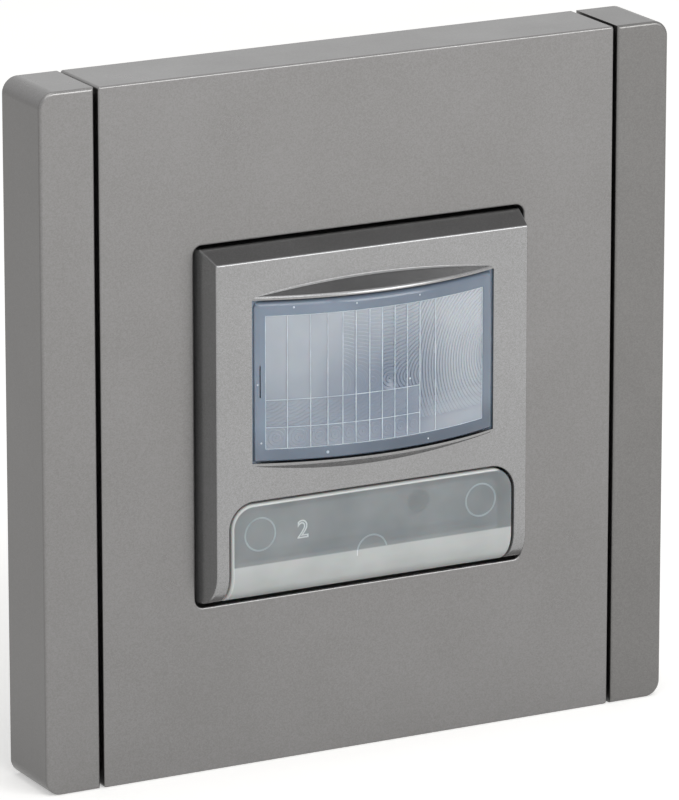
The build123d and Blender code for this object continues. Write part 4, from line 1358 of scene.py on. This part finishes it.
@dataclass
class OverrideKey(SubAssembly):
    """The translucent key and its mould's marks, which stand on the outer skin so that they show."""

    face_y: float = -13.6
    ring_radius: float = 2.05
    line_radius: float = 0.11
    # the marks stand out of the skin by this share of their width
    relief_share: float = 0.12
    rings: tuple[Pair, ...] = ((-15.6, -13.35), (14.95, -13.2))
    cut_ring: Pair = (-0.2, -17.6)
    band_z: float = -17.2
    line_drop: float = 0.75
    numeral: str = "2"
    numeral_place: Pair = (-9.75, -13.6)
    numeral_size: float = 3.1
    numeral_line: float = 0.088

    def build(self) -> None:
        """Dresses the key and the guide behind it, and adds the marks."""
        self.dress({"override_key": Slot.KEY, "light_guide": Slot.GUIDE})
        # the marks are paler than the key: painted highlight, soft on an ejector pin's ring, sharper and
        # brighter on the engraved number and line
        soft = MilkyPlastic("pin_mark_painted_highlight", "a1a9ac", "b5bcbe", 0.8, 0.3, 3.0)
        sharp = MilkyPlastic("engraved_mark_painted_highlight", "d9dddb", "eef0ee", 0.9, 0.3, 3.0)
        rings = [self.model_ring(*place) for place in self.rings]
        piece = join([*self.coat(soft, [*rings, self.model_cut_ring()]),
                      *self.coat(sharp, [self.model_numeral(), self.model_line()])])
        settle(piece, "key_mould_marks")
        for vert in piece.data.vertices:
            vert.co.y = (self.face_y + (vert.co.y / MM - self.face_y) * self.relief_share) * MM
        smooth(piece)
        self.add(piece, Body.KEY, Slot.KEY)

    def model_ring(self, x: float, z: float) -> Piece:
        """A round line that an ejector pin leaves.

        Args:
            x: its middle as seen on the face.
            z: its height as seen on the face.

        Returns:
            The ring, half in the face.
        """
        deselect()
        bpy.ops.mesh.primitive_torus_add(
            major_segments=64, minor_segments=8, major_radius=self.ring_radius * MM,
            minor_radius=self.line_radius * MM, rotation=(math.pi / 2, 0, 0),
            location=(x * MM, self.face_y * MM, z * MM))
        return fix_place()

    def model_cut_ring(self) -> Piece:
        """The ring that the bend of the wall cuts off.

        Returns:
            The open ring.
        """
        ring = self.model_ring(*self.cut_ring)
        edit(ring)
        cut(2, self.band_z, -1, fill=True)
        deselect()
        return ring

    def model_line(self) -> Piece:
        """The short line below the left end of the cut ring.

        Returns:
            A thin rounded bar.
        """
        left, half = self.cut_ring[0] - self.ring_radius, self.line_radius / 2
        line = add_block((left - half, left + half), (self.face_y - 2 * half, self.face_y + 2 * half),
                         (self.band_z - self.line_drop, self.band_z))
        edit(line)
        select_mesh()
        bevel(self.line_radius / 5, segments=2)
        deselect()
        return line

    def model_numeral(self) -> Piece:
        """The small outlined cavity number.

        Returns:
            The number as a mesh of thin lines.
        """
        x, z = self.numeral_place
        lines = {"fill_mode": "NONE", "bevel_depth": self.numeral_line * MM, "bevel_resolution": 1}
        return add_digit(self.numeral, (x, self.face_y, z), (math.pi / 2, 0, 0), self.numeral_size, lines)


# Electronics, housing and terminals

@dataclass
class Electronics(SubAssembly):
    """The two boards and what stands on them."""

    def build(self) -> None:
        """Dresses every part of the boards."""
        self.dress({
            "sensor_board": Slot.BOARD, "power_board": Slot.BOARD, "board_header": Slot.BLACK_PART,
            "pir_can": Slot.CAN, "pir_window": Slot.FILTER, "pir_pedestal": Slot.DIAL,
            "photocell": Slot.CELL, "status_led": Slot.LED, "tact_switch_body": Slot.BLACK_PART,
            "tact_switch_plunger": Slot.BUTTON, "trimmer_bodies": Slot.TRIMMER, "delay_dial": Slot.DIAL,
            "range_dial": Slot.DIAL, "light_level_dial": Slot.DIAL, "relay": Slot.RELAY,
            "film_capacitor": Slot.FILM, "smoothing_capacitor": Slot.SLEEVE, "varistor": Slot.DISC,
            "fuse": Slot.FUSE, "inductor": Slot.CHOKE,
        })


@dataclass
class Housing(SubAssembly):
    """The two housing shells and the terminals at the back."""

    # each number and the x of its screw
    number_places: tuple[tuple[str, float], ...] = (("1", -11.0), ("2", 0.0), ("3", 11.0))
    number_size: float = 2.8
    number_y: float = 25.6
    number_depth: float = 0.2

    def build(self) -> None:
        """Dresses the shells and terminals, and adds a raised number beside each screw."""
        self.dress({"front_housing": Slot.HOUSING, "rear_housing": Slot.REAR, "terminal_block": Slot.TERMINAL,
                    "terminal_clamps": Slot.BRASS, "terminal_screws": Slot.SCREW})
        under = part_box("terminal_block")[0].z / MM
        body = {"extrude": self.number_depth / 2 * MM}
        # turned so that they are read from below and behind
        numbers = join([add_digit(digit, (x, self.number_y, under), (0, math.pi, 0), self.number_size, body)
                        for digit, x in self.number_places])
        # an extruded letter's sides are loose until they are merged
        edit(numbers)
        merge(reach=0.001)
        settle(numbers, "terminal_numbers")
        # raised polyamide, rubbed pale so that it reads on the dark block
        self.coat(MouldedPlastic("raised_number", "c3c5c4", "dcdedd", 0.45, 0.3), [numbers])
        self.add(numbers, Body.BASE, Slot.TERMINAL)


# Studio

@dataclass(frozen=True)
class StudioFloor(Finish):
    """Matt white card: it holds a soft shadow, and the camera sees it as white."""

    fibre_mm: float = 60.0
    lift: float = 0.36

    def surface(self, graph: Graph) -> Socket:
        """Adds the card and the lift that camera, mirror and glass rays see.

        Args:
            graph: the material's nodes.

        Returns:
            The shader.
        """
        fibres = graph.noise(self.fibre_mm)
        colour = graph.add("Mix", {0: fibres, 6: linear(self.dark), 7: linear(self.light)},
                           data_type="RGBA")[2]
        card = graph.add("BsdfDiffuse", {"Color": colour})[0]
        glow = graph.add("Math", {0: seen_directly(graph), 1: self.lift}, operation="MULTIPLY")[0]
        return graph.add("AddShader", {0: card, 1: graph.add("Emission", {"Strength": glow})[0]})[0]


def seen_directly(graph: Graph) -> Socket:
    """1 for camera, mirror and glass rays, and 0 for the rest.

    Args:
        graph: the nodes that it is added to.

    Returns:
        A value socket.
    """
    rays = graph.add("LightPath")
    seen = rays["Is Camera Ray"]
    for other in ("Is Glossy Ray", "Is Transmission Ray"):
        seen = graph.add("Math", {0: seen, 1: rays[other]}, operation="MAXIMUM")[0]
    return seen


@dataclass(frozen=True)
class Softbox:
    """One square lamp that points at the origin: where it stands, its side and its brightness."""

    name: str
    place: Triple
    side: float
    power: float

    def build(self) -> None:
        """Adds the lamp to the scene."""
        deselect()
        bpy.ops.object.light_add(type="AREA", location=self.place)
        lamp = bpy.context.object
        lamp.name = self.name
        lamp.data.shape = "SQUARE"
        lamp.data.size = self.side
        lamp.data.energy = self.power
        lamp.rotation_euler = (Vector() - Vector(self.place)).to_track_quat("-Z", "Y").to_euler()


@dataclass
class Studio:
    """A white card floor, white surroundings, soft lamps and the photograph's camera."""

    wardrobe: Wardrobe
    yaw: float = -27.957
    pitch: float = 15.602
    distance_mm: float = 863.997
    offset_x_mm: float = -2.204
    offset_y_mm: float = 1.759
    focal_px: float = 7000.0
    frame_height_px: float = 800.0
    sensor_mm: float = 36.0
    floor_side: float = 12.0
    surround: float = 0.5
    lamps: tuple[Softbox, ...] = (
        Softbox("front_softbox", (0.5, -0.9, 0.385), 0.54, 3.8),
        Softbox("overhead_softbox", (0.0, -0.1, 1.0), 0.8, 1.6),
        Softbox("left_softbox", (-0.06, -0.76, 0.74), 0.46, 1.7),
    )

    def build(self) -> None:
        """Adds the floor, the surroundings, the lamps and the camera."""
        self.lay_floor()
        self.surround_with_white()
        for lamp in self.lamps:
            lamp.build()
        self.place_camera()
        bpy.context.scene.view_settings.view_transform = "Standard"

    def lay_floor(self) -> None:
        """Adds the card under the object's lowest edge."""
        deselect()
        bpy.ops.mesh.primitive_plane_add(size=self.floor_side, location=(0, 0, cad_box[0].z))
        floor = bpy.context.object
        floor.name = "floor"
        floor.data.materials.append(self.wardrobe.of(StudioFloor("white_card", "f4f3f1", "fbfaf8")))

    def surround_with_white(self) -> None:
        """Makes the world white where it is seen, and soft as a light."""
        world = bpy.data.worlds.new("studio")
        bpy.context.scene.world = world
        world.use_nodes = True
        graph = Graph(world.node_tree)
        seen = seen_directly(graph)
        strength = graph.add("MapRange", {"Value": seen, "To Min": self.surround, "To Max": 1.0})[0]
        background = graph.add("Background", {"Color": (1, 1, 1, 1), "Strength": strength})[0]
        graph.add("OutputWorld", {"Surface": background})

    def place_camera(self) -> None:
        """Adds the camera that was solved from the photograph's corners and seams."""
        yaw, pitch = math.radians(self.yaw), math.radians(self.pitch)
        back = Vector((math.sin(yaw) * math.cos(pitch), -math.cos(yaw) * math.cos(pitch), math.sin(pitch)))
        right = (-back).cross(Vector((0, 0, 1))).normalized()
        up = right.cross(-back)
        place = self.distance_mm * back - self.offset_x_mm * right - self.offset_y_mm * up
        deselect()
        bpy.ops.object.camera_add(location=place * MM)
        camera = bpy.context.object
        camera.rotation_euler = Matrix((right, up, back)).transposed().to_euler()
        camera.data.sensor_width = self.sensor_mm
        camera.data.lens = self.focal_px * self.sensor_mm / self.frame_height_px
        camera.data.clip_start = 0.01
        bpy.context.scene.camera = camera


def main() -> None:
    """Builds every sub-assembly in order, then the studio."""
    logging.basicConfig(level=logging.INFO, format="%(name)s: %(message)s")
    wardrobe = Wardrobe(finishes())
    for sub_assembly in (Cover, ModuleFront, LensCover, OverrideKey, Electronics, Housing):
        sub_assembly(wardrobe).build()
        log.info("%s is done", sub_assembly.__name__)
    Studio(wardrobe).build()


if __name__ == "__main__":
    main()
